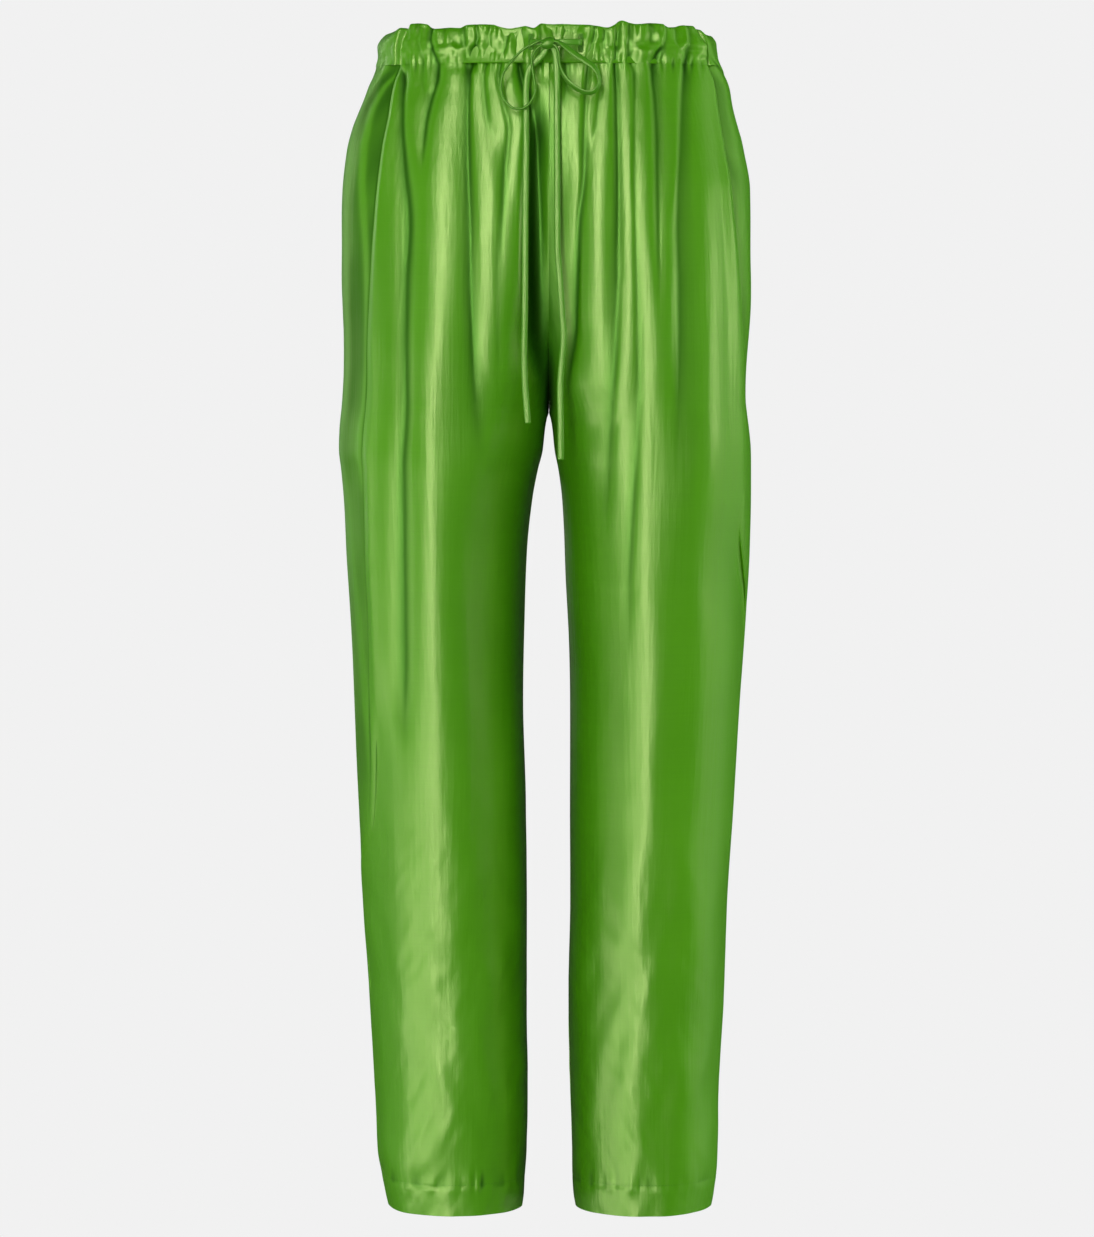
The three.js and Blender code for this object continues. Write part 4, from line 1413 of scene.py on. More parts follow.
@dataclass
class Tape:
    """One half of the drawstring: buttonhole, knot, bow loop, knot again and free end."""

    name: str
    stretches: tuple[tuple[tuple[float, float, float, float], ...], ...]
    nodes: tuple[str, ...]
    width: float = 5.6
    thick: float = 2.2
    step: float = 1.6
    path: Array = field(default_factory=lambda: np.zeros((0, 3)))

    def route(self) -> Array:
        """All stretches in order, joined through the knot.

        Returns:
            Rows of x, y, z in millimetres and turn in degrees.
        """
        first, loop, end = self.stretches
        through = (KNOT_CENTRE[0], KNOT_CENTRE[1] + 1.0, KNOT_CENTRE[2], 45.0)
        back = (KNOT_CENTRE[0], KNOT_CENTRE[1] + 0.6, KNOT_CENTRE[2] - 1.5, 45.0)
        return np.array([*first, through, *loop, back, *end], float)

    def centreline(self) -> Array:
        """Points with their turn every step along a smooth curve through the route.

        Returns:
            Rows of x, y, z in millimetres and turn in degrees.
        """
        rows = self.route()
        chord = np.linalg.norm(np.diff(rows[:, :3], axis=0), axis=1) ** 0.5
        knots = np.concatenate([[0], np.cumsum(chord)])
        fine: list[Array] = []
        for i in range(len(rows) - 1):
            first, last = max(i - 1, 0), min(i + 2, len(rows) - 1)
            m1 = (rows[i + 1] - rows[first]) / (knots[i + 1] - knots[first])
            m2 = (rows[last] - rows[i]) / (knots[last] - knots[i])
            span = knots[i + 1] - knots[i]
            for t in np.linspace(0, 1, 24, endpoint=False):
                fine.append(
                    (2 * t**3 - 3 * t**2 + 1) * rows[i] + (t**3 - 2 * t**2 + t) * span * m1
                    + (3 * t**2 - 2 * t**3) * rows[i + 1] + (t**3 - t**2) * span * m2
                )
        line = np.array(fine + [rows[-1]])
        run = np.concatenate([[0], np.cumsum(np.linalg.norm(np.diff(line[:, :3], axis=0), axis=1))])
        even = np.linspace(0, run[-1], int(run[-1] / self.step) + 1)
        return np.stack([np.interp(even, run, line[:, k]) for k in range(4)], -1)

    def build(self) -> Piece:
        """Sweeps the flat section along the route, width kept at the route's turn.

        Returns:
            The tape's mesh object.
        """
        line = self.centreline()
        points = line[:, :3]
        width, normal = self.directions(points, np.radians(line[:, 3]))
        rounds = np.linspace(0, 2 * np.pi, 20, endpoint=False)
        across = signed_power(np.cos(rounds), 0.8) * self.width / 2
        up = signed_power(np.sin(rounds), 0.9) * self.thick / 2
        section = width[:, None] * across[None, :, None] + normal[:, None] * up[None, :, None]
        ring = points[:, None] + section
        count, size = ring.shape[:2]
        ids = np.arange(count * size).reshape(count, size)
        ahead = np.roll(ids, -1, axis=1)
        quads = np.stack([ids[:-1], ids[1:], ahead[1:], ahead[:-1]], -1).reshape(-1, 4)
        faces = faces_outward(ring.reshape(-1, 3), quads, [ids[0], ids[-1, ::-1]])
        obj = new_object(self.name, ring.reshape(-1, 3), faces)
        run = np.arange(count)[:, None] * self.step * MM
        shape = (count, size)
        cloth = np.stack([np.broadcast_to(across * MM, shape), np.broadcast_to(run, shape)], -1)
        set_uv(obj, cloth.reshape(-1, 2))
        self.path = points * MM
        return obj

    @staticmethod
    def directions(points: Array, turns: Array) -> tuple[Array, Array]:
        """Which way the tape's width and its thickness point along its run.

        Args:
            points: the centreline.
            turns: turn of the width from edge-on towards flat, in radians.

        Returns:
            Unit directions of the width and of the thickness at each point.
        """
        tangent = np.gradient(points, axis=0)
        tangent /= np.linalg.norm(tangent, axis=1, keepdims=True)
        depth = np.array([0.0, 1.0, 0.0])
        flat = np.cross(tangent, depth)
        weak = np.linalg.norm(flat, axis=1) < 0.5
        flat[weak] = (0, 0, 1)
        flat /= np.linalg.norm(flat, axis=1, keepdims=True)
        for i in range(1, len(flat)):
            if np.dot(flat[i], flat[i - 1]) < 0:
                flat[i] = -flat[i]
        width = flat * np.sin(turns)[:, None] + depth * np.cos(turns)[:, None]
        for _ in range(6):
            width[1:-1] = (width[:-2] + 2 * width[1:-1] + width[2:]) / 4
        width -= tangent * np.einsum("ij,ij->i", width, tangent)[:, None]
        width /= np.linalg.norm(width, axis=1, keepdims=True)
        return width, np.cross(tangent, width)

    def dress(self, obj: Piece, finish: Material, pieces: Sequence[Piece]) -> None:
        """Args:
            obj: the tape's mesh object.
            finish: its cloth.
            pieces: other pieces that are made of the same tape; not used.
        """
        obj.data.materials.append(finish)
        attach(obj, BODY)
        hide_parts(*self.nodes)
        run = float(np.linalg.norm(np.diff(self.path, axis=0), axis=1).sum())
        log.info("%s is %.0f mm long", self.name, run / MM)


@dataclass
class Knot:
    """The wrap of tape that holds the bow."""

    reach: tuple[float, float, float] = (5.6, 4.1, 4.0)

    def build(self) -> Piece:
        """A closed band wound round the tapes, fuller at its rims, with a crossing crease.

        Returns:
            The wrap's mesh object.
        """
        rings, size = 40, 26
        around = np.linspace(0, 2 * np.pi, rings, endpoint=False)[:, None]
        along = np.linspace(0, 2 * np.pi, size, endpoint=False)[None, :]
        rx, ry, rz = self.reach
        across = signed_power(np.cos(along), 0.7)
        skin = signed_power(np.sin(along), 0.8)
        crease = 0.35 * np.cos(3 * across + 1.5 * np.sin(around))
        out = 1.0 + 0.26 * skin + 0.09 * crease - 0.16 * across**2
        slant = 0.9 * np.sin(around + 0.6)
        x = across * (rx - 0.8 * np.abs(np.sin(around))) + slant
        y = ry * out * np.cos(around)
        z = rz * out * np.sin(around) + 0.12 * x
        points = np.stack([x, y, z], -1) + np.array(KNOT_CENTRE)
        ids = np.arange(rings * size).reshape(rings, size)
        down, ahead = np.roll(ids, -1, axis=0), np.roll(ids, -1, axis=1)
        quads = np.stack([ids, down, np.roll(down, -1, axis=1), ahead], -1).reshape(-1, 4)
        flat = points.reshape(-1, 3)
        obj = new_object("bow_knot_wrap", flat, faces_outward(flat, quads))
        uv = np.stack([np.broadcast_to(x * MM, x.shape), np.broadcast_to(around * 0.004, x.shape)], -1)
        set_uv(obj, uv.reshape(-1, 2))
        return obj

    def dress(self, obj: Piece, finish: Material) -> None:
        """Gives the knot its finish.

        Args:
            obj: the wrap's mesh object.
            finish: its cloth.
        """
        obj.data.materials.append(finish)
        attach(obj, BODY)
        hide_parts("bow_knot")


# ------------------------------------------------------------------------------ sewing
@dataclass
class Stitches:
    """A row of machine stitches laid on the cloth, as one joined mesh."""

    name: str
    length: float = 2.1
    gauge: float = 0.3
    sides: int = 6

    def build(self, line: Array, outward: Array, spacing: float) -> Piece:
        """Places a stitch every spacing along a line.

        Args:
            line: points of the sewing line, in millimetres.
            outward: unit direction away from the cloth at each point.
            spacing: distance from one stitch's start to the next.

        Returns:
            The joined mesh object.
        """
        run = np.concatenate([[0], np.cumsum(np.linalg.norm(np.diff(line, axis=0), axis=1))])
        starts = np.arange(0, run[-1] - self.length, spacing)
        ends = self.along(run, line, starts + self.length)
        return self.join(zip(self.along(run, line, starts), ends, self.along(run, outward, starts)))

    @staticmethod
    def along(run: Array, values: Array, places: Array) -> Array:
        """Three-part values at places along a run."""
        return np.stack([np.interp(places, run, values[:, k]) for k in range(3)], -1)

    def join(self, stitches: Iterable[tuple[Array, Array, Array]]) -> Piece:
        """One mesh of all stitches, each given by its ends and the way out of the cloth.

        Args:
            stitches: start, end and outward direction of each, in millimetres.

        Returns:
            The joined mesh object.
        """
        points, faces = [], []
        shares = (0.0, 0.2, 0.8, 1.0)
        sizes = (0.35, 1.0, 1.0, 0.35)
        turns = 2 * np.pi * np.arange(self.sides) / self.sides
        for start, end, up in stitches:
            base = len(points)
            way = (end - start) / np.linalg.norm(end - start)
            level = np.cross(way, up)
            for share, size in zip(shares, sizes):
                centre = start + (end - start) * share + up * (0.1 * size)
                radius = self.gauge / 2 * size
                points += [centre + radius * (level * math.cos(t) + up * math.sin(t)) for t in turns]
            for ring in range(len(shares) - 1):
                for k in range(self.sides):
                    a = base + ring * self.sides + k
                    b = base + ring * self.sides + (k + 1) % self.sides
                    faces.append((a, b, b + self.sides, a + self.sides))
            faces.append(tuple(base + k for k in reversed(range(self.sides))))
            last = base + (len(shares) - 1) * self.sides
            faces.append(tuple(last + k for k in range(self.sides)))
        return new_object(self.name, np.array(points), faces)

    def dress(self, obj: Piece, finish: Material, slot: str) -> None:
        """Gives the stitches their thread.

        Args:
            obj: the stitches.
            finish: their thread.
            slot: material slot of the solid under them; not used.
        """
        obj.data.materials.append(finish)
        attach(obj, BODY)


class Surface:
    """Finds points on the outside of finished cloth pieces."""

    def __init__(self, *pieces: Piece) -> None:
        """Gathers the faces of all pieces.

        Args:
            pieces: finished mesh objects.
        """
        points: list[Vector] = []
        faces: list[tuple[int, ...]] = []
        for piece in pieces:
            base = len(points)
            points += [v.co.copy() for v in piece.data.vertices]
            faces += [tuple(base + i for i in face.vertices) for face in piece.data.polygons]
        self.tree = BVHTree.FromPolygons(points, faces)

    def at(self, start: Sequence[float], way: Sequence[float]) -> tuple[Array, Array]:
        """First point met from a start along a way, in millimetres, and the normal there.

        Args:
            start: where the search starts, in millimetres.
            way: unit direction of the search.

        Returns:
            The point and the unit normal that faces back along the way.
        """
        place, normal, _, _ = self.tree.ray_cast(Vector(start) * MM, Vector(way))
        if place is None:
            return np.array(start, float), -np.array(way, float)
        normal = np.array(normal)
        return np.array(place) / MM, normal if np.dot(normal, way) < 0 else -normal

    def ahead(self, x: float, z: float) -> tuple[Array, Array]:
        """Point and normal straight behind a place in front of the garment."""
        return self.at((x, -200, z), (0, 1, 0))


@dataclass
class Buttonhole:
    """A thread-bound upright slit in the casing that the drawstring comes out of."""

    name: str
    x: float
    z: float = 0.8
    height: float = 16.0
    slit: float = 1.5
    bind: float = 2.4
    spacing: float = 0.62
    gauge: float = 0.66
    end_stitches: int = 3

    def build(self, casing: Surface) -> tuple[Piece, Piece]:
        """Binding stitches along both sides and over both ends, and the dark slit between.

        Args:
            casing: the finished front casing's surface.

        Returns:
            The binding and the slit.
        """
        low = self.z - self.height / 2
        stitches = []
        for k in range(int(self.height / self.spacing) + 1):
            z = low + k * self.spacing
            spans = [(-self.bind, -self.slit / 2), (self.slit / 2, self.bind)]
            if k < self.end_stitches or z > low + self.height - self.end_stitches * self.spacing:
                spans = [(-self.bind, self.bind)]
            for first, last in spans:
                start, up = casing.ahead(self.x + first, z)
                end, _ = casing.ahead(self.x + last, z + 0.12)
                stitches.append((start, end, up))
        binding = Stitches(self.name + "_binding", gauge=self.gauge).join(stitches)
        edges = (self.x - self.slit / 2, self.x + self.slit / 2)
        rows = [low + share * self.height for share in np.linspace(0.08, 0.92, 12)]
        places = [casing.ahead(x, z) for z in rows for x in edges]
        points = np.array([point + 0.05 * up for point, up in places])
        faces = [(2 * k, 2 * k + 1, 2 * k + 3, 2 * k + 2) for k in range(len(rows) - 1)]
        return binding, new_object(self.name + "_slit", points, faces)

    def dress(self, binding: Piece, slit: Piece, thread: Material, dark: Material) -> None:
        """Gives the binding its thread and the slit the cloth's dark inside.

        Args:
            binding: the stitches round the slit.
            slit: the opening's inside.
            thread: finish of the stitches.
            dark: finish of the inside.
        """
        for piece, finish in ((binding, thread), (slit, dark)):
            piece.data.materials.append(finish)
            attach(piece, BODY)


# ------------------------------------------------------------------------------ finishes
class Graph:
    """Short hands for making and joining shader nodes."""

    def __init__(self, tree: bpy.types.NodeTree) -> None:
        """Keeps the tree that nodes go into."""
        self.tree = tree

    def add(self, kind: str, **values: object) -> bpy.types.Node:
        """A new node with the given properties set.

        Args:
            kind: the type of node.
            values: its properties by name.

        Returns:
            The node.
        """
        node = self.tree.nodes.new(kind)
        for name, value in values.items():
            setattr(node, name, value)
        return node

    def join(self, source: Socket, target: Socket) -> None:
        """Links an output to an input."""
        self.tree.links.new(source, target)

    def feed(self, value: object, target: Socket) -> None:
        """Links a socket to an input, or sets the input to a fixed value.

        Args:
            value: socket, number or colour.
            target: the input.
        """
        if isinstance(value, Socket):
            self.join(value, target)
        else:
            target.default_value = value

    def maths(self, operation: str, first: object, second: object) -> Socket:
        """Result of a sum on two sockets or numbers.

        Args:
            operation: the Math node's operation.
            first: socket or number.
            second: socket or number.

        Returns:
            The result's socket.
        """
        node = self.add("ShaderNodeMath", operation=operation)
        self.feed(first, node.inputs[0])
        self.feed(second, node.inputs[1])
        return node.outputs[0]

    def mix(self, share: Socket, first: object, second: object) -> Socket:
        """Colour between two colours.

        Args:
            share: socket with the share of the second colour.
            first: socket or colour.
            second: socket or colour.

        Returns:
            The mixed colour's socket.
        """
        node = self.add("ShaderNodeMix", data_type="RGBA")
        self.join(share, node.inputs["Factor"])
        self.feed(first, node.inputs["A"])
        self.feed(second, node.inputs["B"])
        return node.outputs["Result"]

    def stretched(self, place: Socket, scale: tuple[float, float, float]) -> Socket:
        """A place scaled along its three axes.

        Args:
            place: socket with the place.
            scale: factor along each axis.

        Returns:
            The scaled place's socket.
        """
        node = self.add("ShaderNodeMapping")
        node.inputs["Scale"].default_value = scale
        self.join(place, node.inputs["Vector"])
        return node.outputs[0]

    def noise(self, place: Socket, scale: object, detail: float) -> Socket:
        """Smooth noise round a half.

        Args:
            place: socket with the place.
            scale: socket or number.
            detail: how many finer layers are added.

        Returns:
            The noise's socket.
        """
        node = self.add("ShaderNodeTexNoise")
        self.feed(scale, node.inputs["Scale"])
        node.inputs["Detail"].default_value = detail
        self.join(place, node.inputs["Vector"])
        return node.outputs["Fac"]


# The weave: how far its threads, slubs and pressed streaks are drawn out along x, y and z, and
# how strongly each counts against the threads' own height of 1.
WARP_STRETCH = (1.0, 0.035, 1.0)
SLUB_STRETCH = (14.0, 1.0, 900.0)
STREAK_STRETCH = (230.0, 230.0, 11.0)
SLUB_HEIGHT = 0.8
STREAK_HEIGHT = 7.0
SLUB_TONE = 0.6


def weave_group() -> bpy.types.NodeTree:
    """Node group of the satin weave: long warp floats with slubs, and slow changes of tone.

    Returns:
        Group with inputs Threads and Slub, and outputs Height, Tone and Gloss.
    """
    group = bpy.data.node_groups.new("satin weave", "ShaderNodeTree")
    face = group.interface
    for name, value in (("Threads", 2600.0), ("Slub", 1.0)):
        socket = face.new_socket(name=name, in_out="INPUT", socket_type="NodeSocketFloat")
        socket.default_value = value
    for name in ("Height", "Tone", "Gloss"):
        face.new_socket(name=name, in_out="OUTPUT", socket_type="NodeSocketFloat")
    graph = Graph(group)
    enter, leave = graph.add("NodeGroupInput"), graph.add("NodeGroupOutput")
    place = graph.add("ShaderNodeTexCoord").outputs["Object"]
    cloth = graph.add("ShaderNodeUVMap", uv_map="cloth").outputs["UV"]
    warp = graph.noise(graph.stretched(cloth, WARP_STRETCH), enter.outputs["Threads"], 2.0)
    slub = graph.noise(graph.stretched(place, SLUB_STRETCH), 1.0, 3.0)
    lines = graph.maths("MULTIPLY", graph.maths("SUBTRACT", slub, 0.5), enter.outputs["Slub"])
    streak = graph.noise(graph.stretched(place, STREAK_STRETCH), 1.0, 3.0)
    height = graph.maths("ADD", warp, graph.maths("MULTIPLY", lines, SLUB_HEIGHT))
    height = graph.maths("ADD", height, graph.maths("MULTIPLY", streak, STREAK_HEIGHT))
    graph.join(height, leave.inputs["Height"])
    tone = graph.maths("ADD", graph.noise(place, 9.0, 4.0), graph.maths("MULTIPLY", lines, SLUB_TONE))
    graph.join(tone, leave.inputs["Tone"])
    graph.join(graph.noise(place, 38.0, 3.0), leave.inputs["Gloss"])
    return group


@dataclass(frozen=True)
class SatinFinish:
    """A satin cloth: two tones of its colour, its gloss and how strongly the weave shows.

    The painted shade values say how far the shade painted into the deepest creases goes to the shade
    tone, past that to black, how much duller those creases are, and how far their gleam takes the cloth's
    own colour.
    """

    name: str
    tone_dark: tuple[float, float, float]
    tone_light: tuple[float, float, float]
    # colour painted into the deepest creases as shade
    painted_shade_tone: tuple[float, float, float]
    roughness: float
    gloss_change: float
    specular_tint: tuple[float, float, float]
    ior: float
    anisotropy: float
    sheen: float
    bump: float
    threads: float
    bump_distance: float = 0.0002
    painted_shade_share: float = 0.95
    painted_black_share: float = 0.92
    crease_dull: float = 0.12
    shade_gleam_tint: float = 0.55

    def material(self, weave: bpy.types.NodeTree) -> Material:
        """Builds the material around the shared weave group.

        Args:
            weave: the satin weave node group.

        Returns:
            The finished material.
        """
        material = bpy.data.materials.new(self.name)
        material.use_nodes = True
        tree = material.node_tree
        tree.nodes.clear()
        graph = Graph(tree)
        out = graph.add("ShaderNodeOutputMaterial")
        shader = graph.add("ShaderNodeBsdfPrincipled")
        graph.join(shader.outputs[0], out.inputs["Surface"])
        cloth = graph.add("ShaderNodeGroup", node_tree=weave)
        cloth.inputs["Threads"].default_value = self.threads
        # painted shade: the mesh's shade values darken the base colour toward the shade tone and past 1
        # toward near black, dull the gloss and give it the cloth's colour
        depth = graph.add("ShaderNodeAttribute", attribute_name="painted_shade").outputs["Fac"]
        tone = graph.mix(cloth.outputs["Tone"], (*self.tone_dark, 1), (*self.tone_light, 1))
        deep = graph.mix(graph.maths("MULTIPLY", depth, self.painted_shade_share), tone, (*self.painted_shade_tone, 1))
        past = graph.maths("MAXIMUM", graph.maths("SUBTRACT", depth, 1.0), 0.0)
        shade = graph.mix(graph.maths("MULTIPLY", past, self.painted_black_share), deep, (0.0, 0.004, 0.0, 1))
        graph.join(shade, shader.inputs["Base Color"])
        half = self.gloss_change / 2
        rough = graph.add("ShaderNodeMapRange")
        rough.inputs["To Min"].default_value = self.roughness - half
        rough.inputs["To Max"].default_value = self.roughness + half
        graph.join(cloth.outputs["Gloss"], rough.inputs["Value"])
        dull = graph.maths("MULTIPLY", depth, self.crease_dull)
        graph.join(graph.maths("ADD", rough.outputs[0], dull), shader.inputs["Roughness"])
        graph.join(graph.maths("MULTIPLY", depth, self.shade_gleam_tint), shader.inputs["Metallic"])
        bump = graph.add("ShaderNodeBump")
        bump.inputs["Strength"].default_value = self.bump
        bump.inputs["Distance"].default_value = self.bump_distance
        graph.join(cloth.outputs["Height"], bump.inputs["Height"])
        graph.join(bump.outputs[0], shader.inputs["Normal"])
        shader.inputs["IOR"].default_value = self.ior
        shader.inputs["Specular Tint"].default_value = (*self.specular_tint, 1)
        shader.inputs["Anisotropic"].default_value = self.anisotropy
        shader.inputs["Sheen Weight"].default_value = self.sheen
        shader.inputs["Sheen Tint"].default_value = (*self.specular_tint, 1)
        return material


SATIN = SatinFinish(
    "green satin",
    tone_dark=(0.056, 0.265, 0.0006), tone_light=(0.080, 0.345, 0.0014),
    painted_shade_tone=(0.024, 0.175, 0.0002),
    roughness=0.33, gloss_change=0.06, specular_tint=(0.88, 1.0, 0.44), ior=2.1,
    anisotropy=0.35, sheen=0.0, bump=0.25, threads=2600.0,
)
SATIN_INSIDE = SatinFinish(
    "green satin wrong side",
    tone_dark=(0.030, 0.160, 0.004), tone_light=(0.050, 0.220, 0.008), painted_shade_tone=(0.01, 0.06, 0.001),
    roughness=0.62, gloss_change=0.1, specular_tint=(0.8, 1.0, 0.5), ior=1.5,
    anisotropy=0.0, sheen=0.15, bump=0.3, threads=1800.0,
)
TAPE_SATIN = SatinFinish(
    "drawstring satin",
    tone_dark=(0.040, 0.205, 0.003), tone_light=(0.070, 0.300, 0.010), painted_shade_tone=(0.01, 0.06, 0.001),
    roughness=0.36, gloss_change=0.06, specular_tint=(0.86, 1.0, 0.46), ior=2.0,
    anisotropy=0.3, sheen=0.0, bump=0.35, threads=3000.0,
)
THREAD = SatinFinish(
    "green thread",
    tone_dark=(0.040, 0.190, 0.004), tone_light=(0.080, 0.300, 0.012), painted_shade_tone=(0.01, 0.06, 0.001),
    roughness=0.5, gloss_change=0.1, specular_tint=(0.86, 1.0, 0.5), ior=1.6,
    anisotropy=0.0, sheen=0.1, bump=0.5, threads=5000.0,
)


# ------------------------------------------------------------------------------ studio
@dataclass
class Studio:
    """The camera, the pale floor and backdrop, and the soft lights."""

    eye_distance: float = 5.0
    eye_height: float = -0.224
    aim: tuple[float, float, float] = (-0.0018, 0.0, -0.511)
    image_height: int = 1237
    focal_pixels: float = 5565.6
    sensor: float = 24.0
    middle: tuple[float, float, float] = (0.0, 0.0, -0.5)
    floor_height: float = -2.5
    backdrop: float = 0.88
    floor_tone: float = 0.12
    surround: float = 0.02

    def camera(self) -> None:
        """Level with the hips, looking slightly down at the middle of the garment."""
        data = bpy.data.cameras.new("camera")
        data.sensor_fit = "VERTICAL"
        data.sensor_height = self.sensor
        data.lens = self.focal_pixels / self.image_height * self.sensor
        data.clip_end = 60.0
        camera = bpy.data.objects.new("camera", data)
        camera.location = (self.aim[0], -self.eye_distance, self.eye_height)
        way = Vector(self.aim) - camera.location
        camera.rotation_euler = way.to_track_quat("-Z", "Y").to_euler()
        bpy.context.scene.collection.objects.link(camera)
        bpy.context.scene.camera = camera

    def lamp(
        self,
        name: str,
        brightness: float,
        size: tuple[float, float],
        place: tuple[float, float, float],
        gloss: bool = True,
        body: bool = True,
    ) -> None:
        """A rectangular soft light that faces the middle of the garment.

        Args:
            name: the light's name.
            brightness: radiance of its face, as watts for each square metre and steradian.
            size: width and height in metres.
            place: where it stands.
            gloss: whether it shows in the cloth's gloss.
            body: whether it lights the cloth's own colour.
        """
        data = bpy.data.lights.new(name, "AREA")
        data.shape = "RECTANGLE"
        data.size, data.size_y = size
        data.energy = brightness * math.pi * size[0] * size[1]
        lamp = bpy.data.objects.new(name, data)
        lamp.location = place
        lamp.visible_glossy = gloss
        lamp.visible_diffuse = body
        lamp.rotation_euler = (Vector(self.middle) - Vector(place)).to_track_quat("-Z", "Y").to_euler()
        bpy.context.scene.collection.objects.link(lamp)

    def lights(self) -> None:
        """A tall key beside the camera, streaks for the gloss, fills for the colour, a dim surround."""
        self.lamp("key", 8.9, (0.75, 5.4), (-0.8, -4.1, 0.35))
        self.lamp("key high", 3.8, (0.7, 1.9), (-0.78, -4.0, 0.95), body=False)
        self.lamp("key side", 2.3, (1.9, 1.6), (-2.2, -3.4, -1.6), body=False)
        self.lamp("low side", 3.0, (3.4, 0.8), (-3.6, -1.75, -2.05), body=False)
        self.lamp("left streak", 5.0, (0.35, 1.1), (-3.98, -0.42, -0.7), body=False)
        self.lamp("left side", 0.08, (4.0, 5.0), (-3.8, 1.0, 0.2))
        self.lamp("right side", 0.26, (4.0, 5.0), (3.8, 0.9, 0.2))
        self.lamp("left rim", 5.0, (0.3, 2.4), (-3.1, 2.6, 0.5), body=False)
        self.lamp("left edge", 0.6, (0.45, 3.0), (-1.7, 3.8, 0.5), body=False)
        self.lamp("right rim", 9.5, (0.42, 0.95), (3.92, -0.75, -0.12), body=False)
        self.lamp("front body", 1.45, (6.0, 5.0), (0.0, -6.0, 0.3), gloss=False)
        self.lamp("left body", 3.0, (3.0, 5.0), (-3.9, 0.9, 0.2), gloss=False)
        self.lamp("right body", 4.0, (3.0, 5.0), (3.9, 0.9, 0.2), gloss=False)
        world = bpy.data.worlds.new("surround")
        world.use_nodes = True
        background = world.node_tree.nodes["Background"]
        background.inputs["Color"].default_value = (1, 1, 1, 1)
        background.inputs["Strength"].default_value = self.surround
        bpy.context.scene.world = world
        bpy.context.scene.view_settings.view_transform = "Standard"

    def cove(self) -> None:
        """Pale floor that curves up into a backdrop all round, seen at one even tone."""
        radius, bend, top, steps, turns = 7.5, 1.5, 4.0, 10, 64
        outline = [(0.0, 0.0), (radius - bend, 0.0)]
        for k in range(1, steps + 1):
            turn = math.pi / 2 * k / steps
            outline.append((radius - bend + bend * math.sin(turn), bend - bend * math.cos(turn)))
        outline.append((radius, top))
        rounds = [2 * math.pi * k / turns for k in range(turns)]
        points = [
            (r * math.cos(turn), r * math.sin(turn), self.floor_height + h)
            for r, h in outline for turn in rounds
        ]
        ids = np.arange(len(points)).reshape(-1, turns)
        ahead = np.roll(ids, -1, axis=1)
        faces = np.stack([ids[:-1], ahead[:-1], ahead[1:], ids[1:]], -1).reshape(-1, 4).tolist()
        cove = new_object("pale_floor", np.array(points) / MM, faces)
        cove.data.materials.append(self.pale())

    def pale(self) -> Material:
        """Even pale finish for what the camera sees, and a dim one for reflections.

        Returns:
            The finished material.
        """
        material = bpy.data.materials.new("pale floor")
        material.use_nodes = True
        material.node_tree.nodes.clear()
        graph = Graph(material.node_tree)
        out = graph.add("ShaderNodeOutputMaterial")
        mix = graph.add("ShaderNodeMixShader")
        path = graph.add("ShaderNodeLightPath")
        shown = graph.add("ShaderNodeEmission")
        shown.inputs["Color"].default_value = (self.backdrop, self.backdrop, self.backdrop, 1)
        plain = graph.add("ShaderNodeBsdfDiffuse")
        plain.inputs["Color"].default_value = (self.floor_tone, self.floor_tone, self.floor_tone, 1)
        graph.join(path.outputs["Is Camera Ray"], mix.inputs["Fac"])
        graph.join(plain.outputs[0], mix.inputs[1])
        graph.join(shown.outputs[0], mix.inputs[2])
        graph.join(mix.outputs[0], out.inputs["Surface"])
        return material


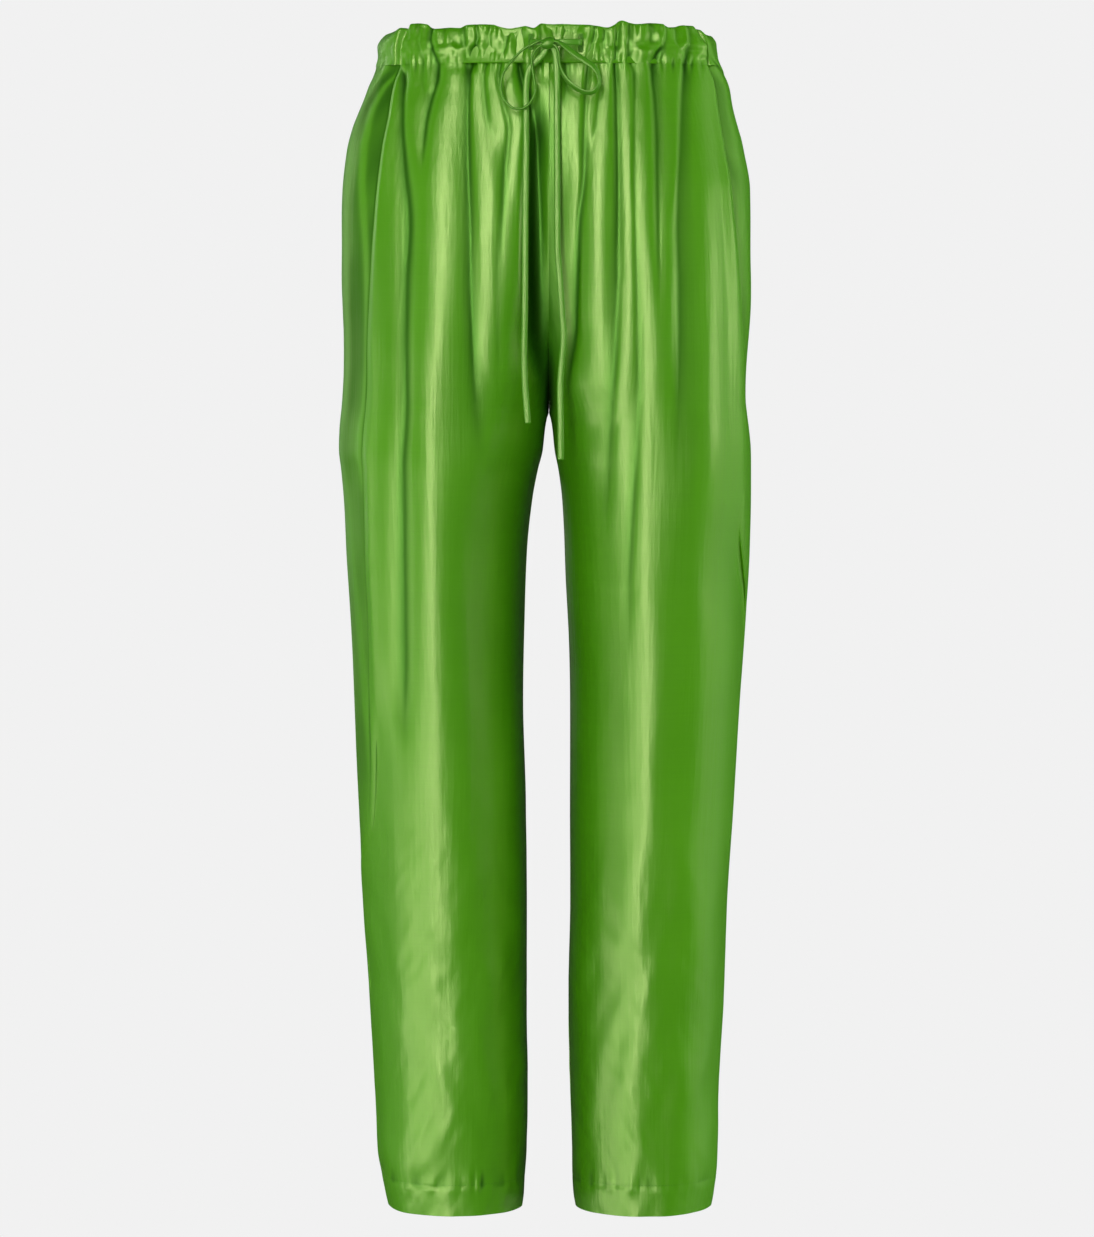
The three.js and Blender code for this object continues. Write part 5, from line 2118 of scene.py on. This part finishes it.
# ------------------------------------------------------------------------------ assembly
def hem_line(form: BodyForm, side: Side, z: float, cloth: Surface) -> tuple[Array, Array]:
    """A nearly level line round one leg on the cloth, and its outward directions.

    Args:
        form: the smooth form.
        side: wearer's side.
        z: height of the line, in millimetres.
        cloth: the leg's finished panels.

    Returns:
        Points in millimetres and unit directions.
    """
    angle = np.linspace(-179.0, 179.0, 420)
    level = z + 1.6 * crumple(np.zeros_like(angle), np.zeros_like(angle), (21.0, 50.0), 17)
    outside = form.surface(side, angle, level, np.full_like(angle, 25.0))
    inside = form.surface(side, angle, level, np.full_like(angle, -5.0))
    ways = inside - outside
    ways = [way / np.linalg.norm(way) for way in ways]
    found = [cloth.at(start, way) for start, way in zip(outside, ways)]
    return np.array([point for point, _ in found]), np.array([normal for _, normal in found])


def main() -> None:
    """Builds the pieces in order and reports each."""
    logging.basicConfig(level=logging.INFO, format="%(name)s: %(message)s")
    studio = Studio()
    studio.camera()
    form = BodyForm()
    weave = weave_group()
    satin, inside = SATIN.material(weave), SATIN_INSIDE.material(weave)
    tape_finish, thread = TAPE_SATIN.material(weave), THREAD.material(weave)

    knot = Knot()
    knot_object = knot.build()
    knot.dress(knot_object, tape_finish)
    log.info("%s: %d faces", knot_object.name, len(knot_object.data.polygons))
    routes = {
        Side.RIGHT: (TIE_RIGHT, LOOP_RIGHT, END_RIGHT),
        Side.LEFT: (TIE_LEFT, LOOP_LEFT, END_LEFT),
    }
    for side, stretches in routes.items():
        name = side.name.lower()
        nodes = (f"tie_{name}", f"bow_loop_{name}", f"cord_end_{name}")
        tape = Tape(f"drawstring_{name}", stretches, nodes)
        tape.dress(tape.build(), tape_finish, [knot_object] if side is Side.RIGHT else [])

    made: dict[Side, list[Piece]] = {side: [] for side in Side}
    pleats = {(side, face): PleatField(form, side, face) for side in Side for face in Face}
    for side in Side:
        for face in Face:
            panel = Panel(form, side, face, pleats[side, face])
            obj = panel.build()
            panel.dress(obj, satin, inside)
            made[side].append(obj)
            log.info("%s: %d faces", obj.name, len(obj.data.polygons))

    for face in Face:
        casing = Casing(form, face, {side: pleats[side, face] for side in Side})
        obj = casing.build()
        casing.dress(obj, satin)
        log.info("%s: %d faces", obj.name, len(obj.data.polygons))
        if face is Face.FRONT:
            for name, x in (("buttonhole_right", -15.8), ("buttonhole_left", 28.0)):
                hole = Buttonhole(name, x)
                hole.dress(*hole.build(Surface(obj)), thread, inside)

    for side in Side:
        row = Stitches(f"hem_stitches_{side.name.lower()}")
        line, outward = hem_line(form, side, HEM_Z + HEM_DEPTH, Surface(*made[side]))
        row.dress(row.build(line, outward, HEM_STITCH), thread, "satin")

    studio.cove()
    studio.lights()


if __name__ == "__main__":
    main()
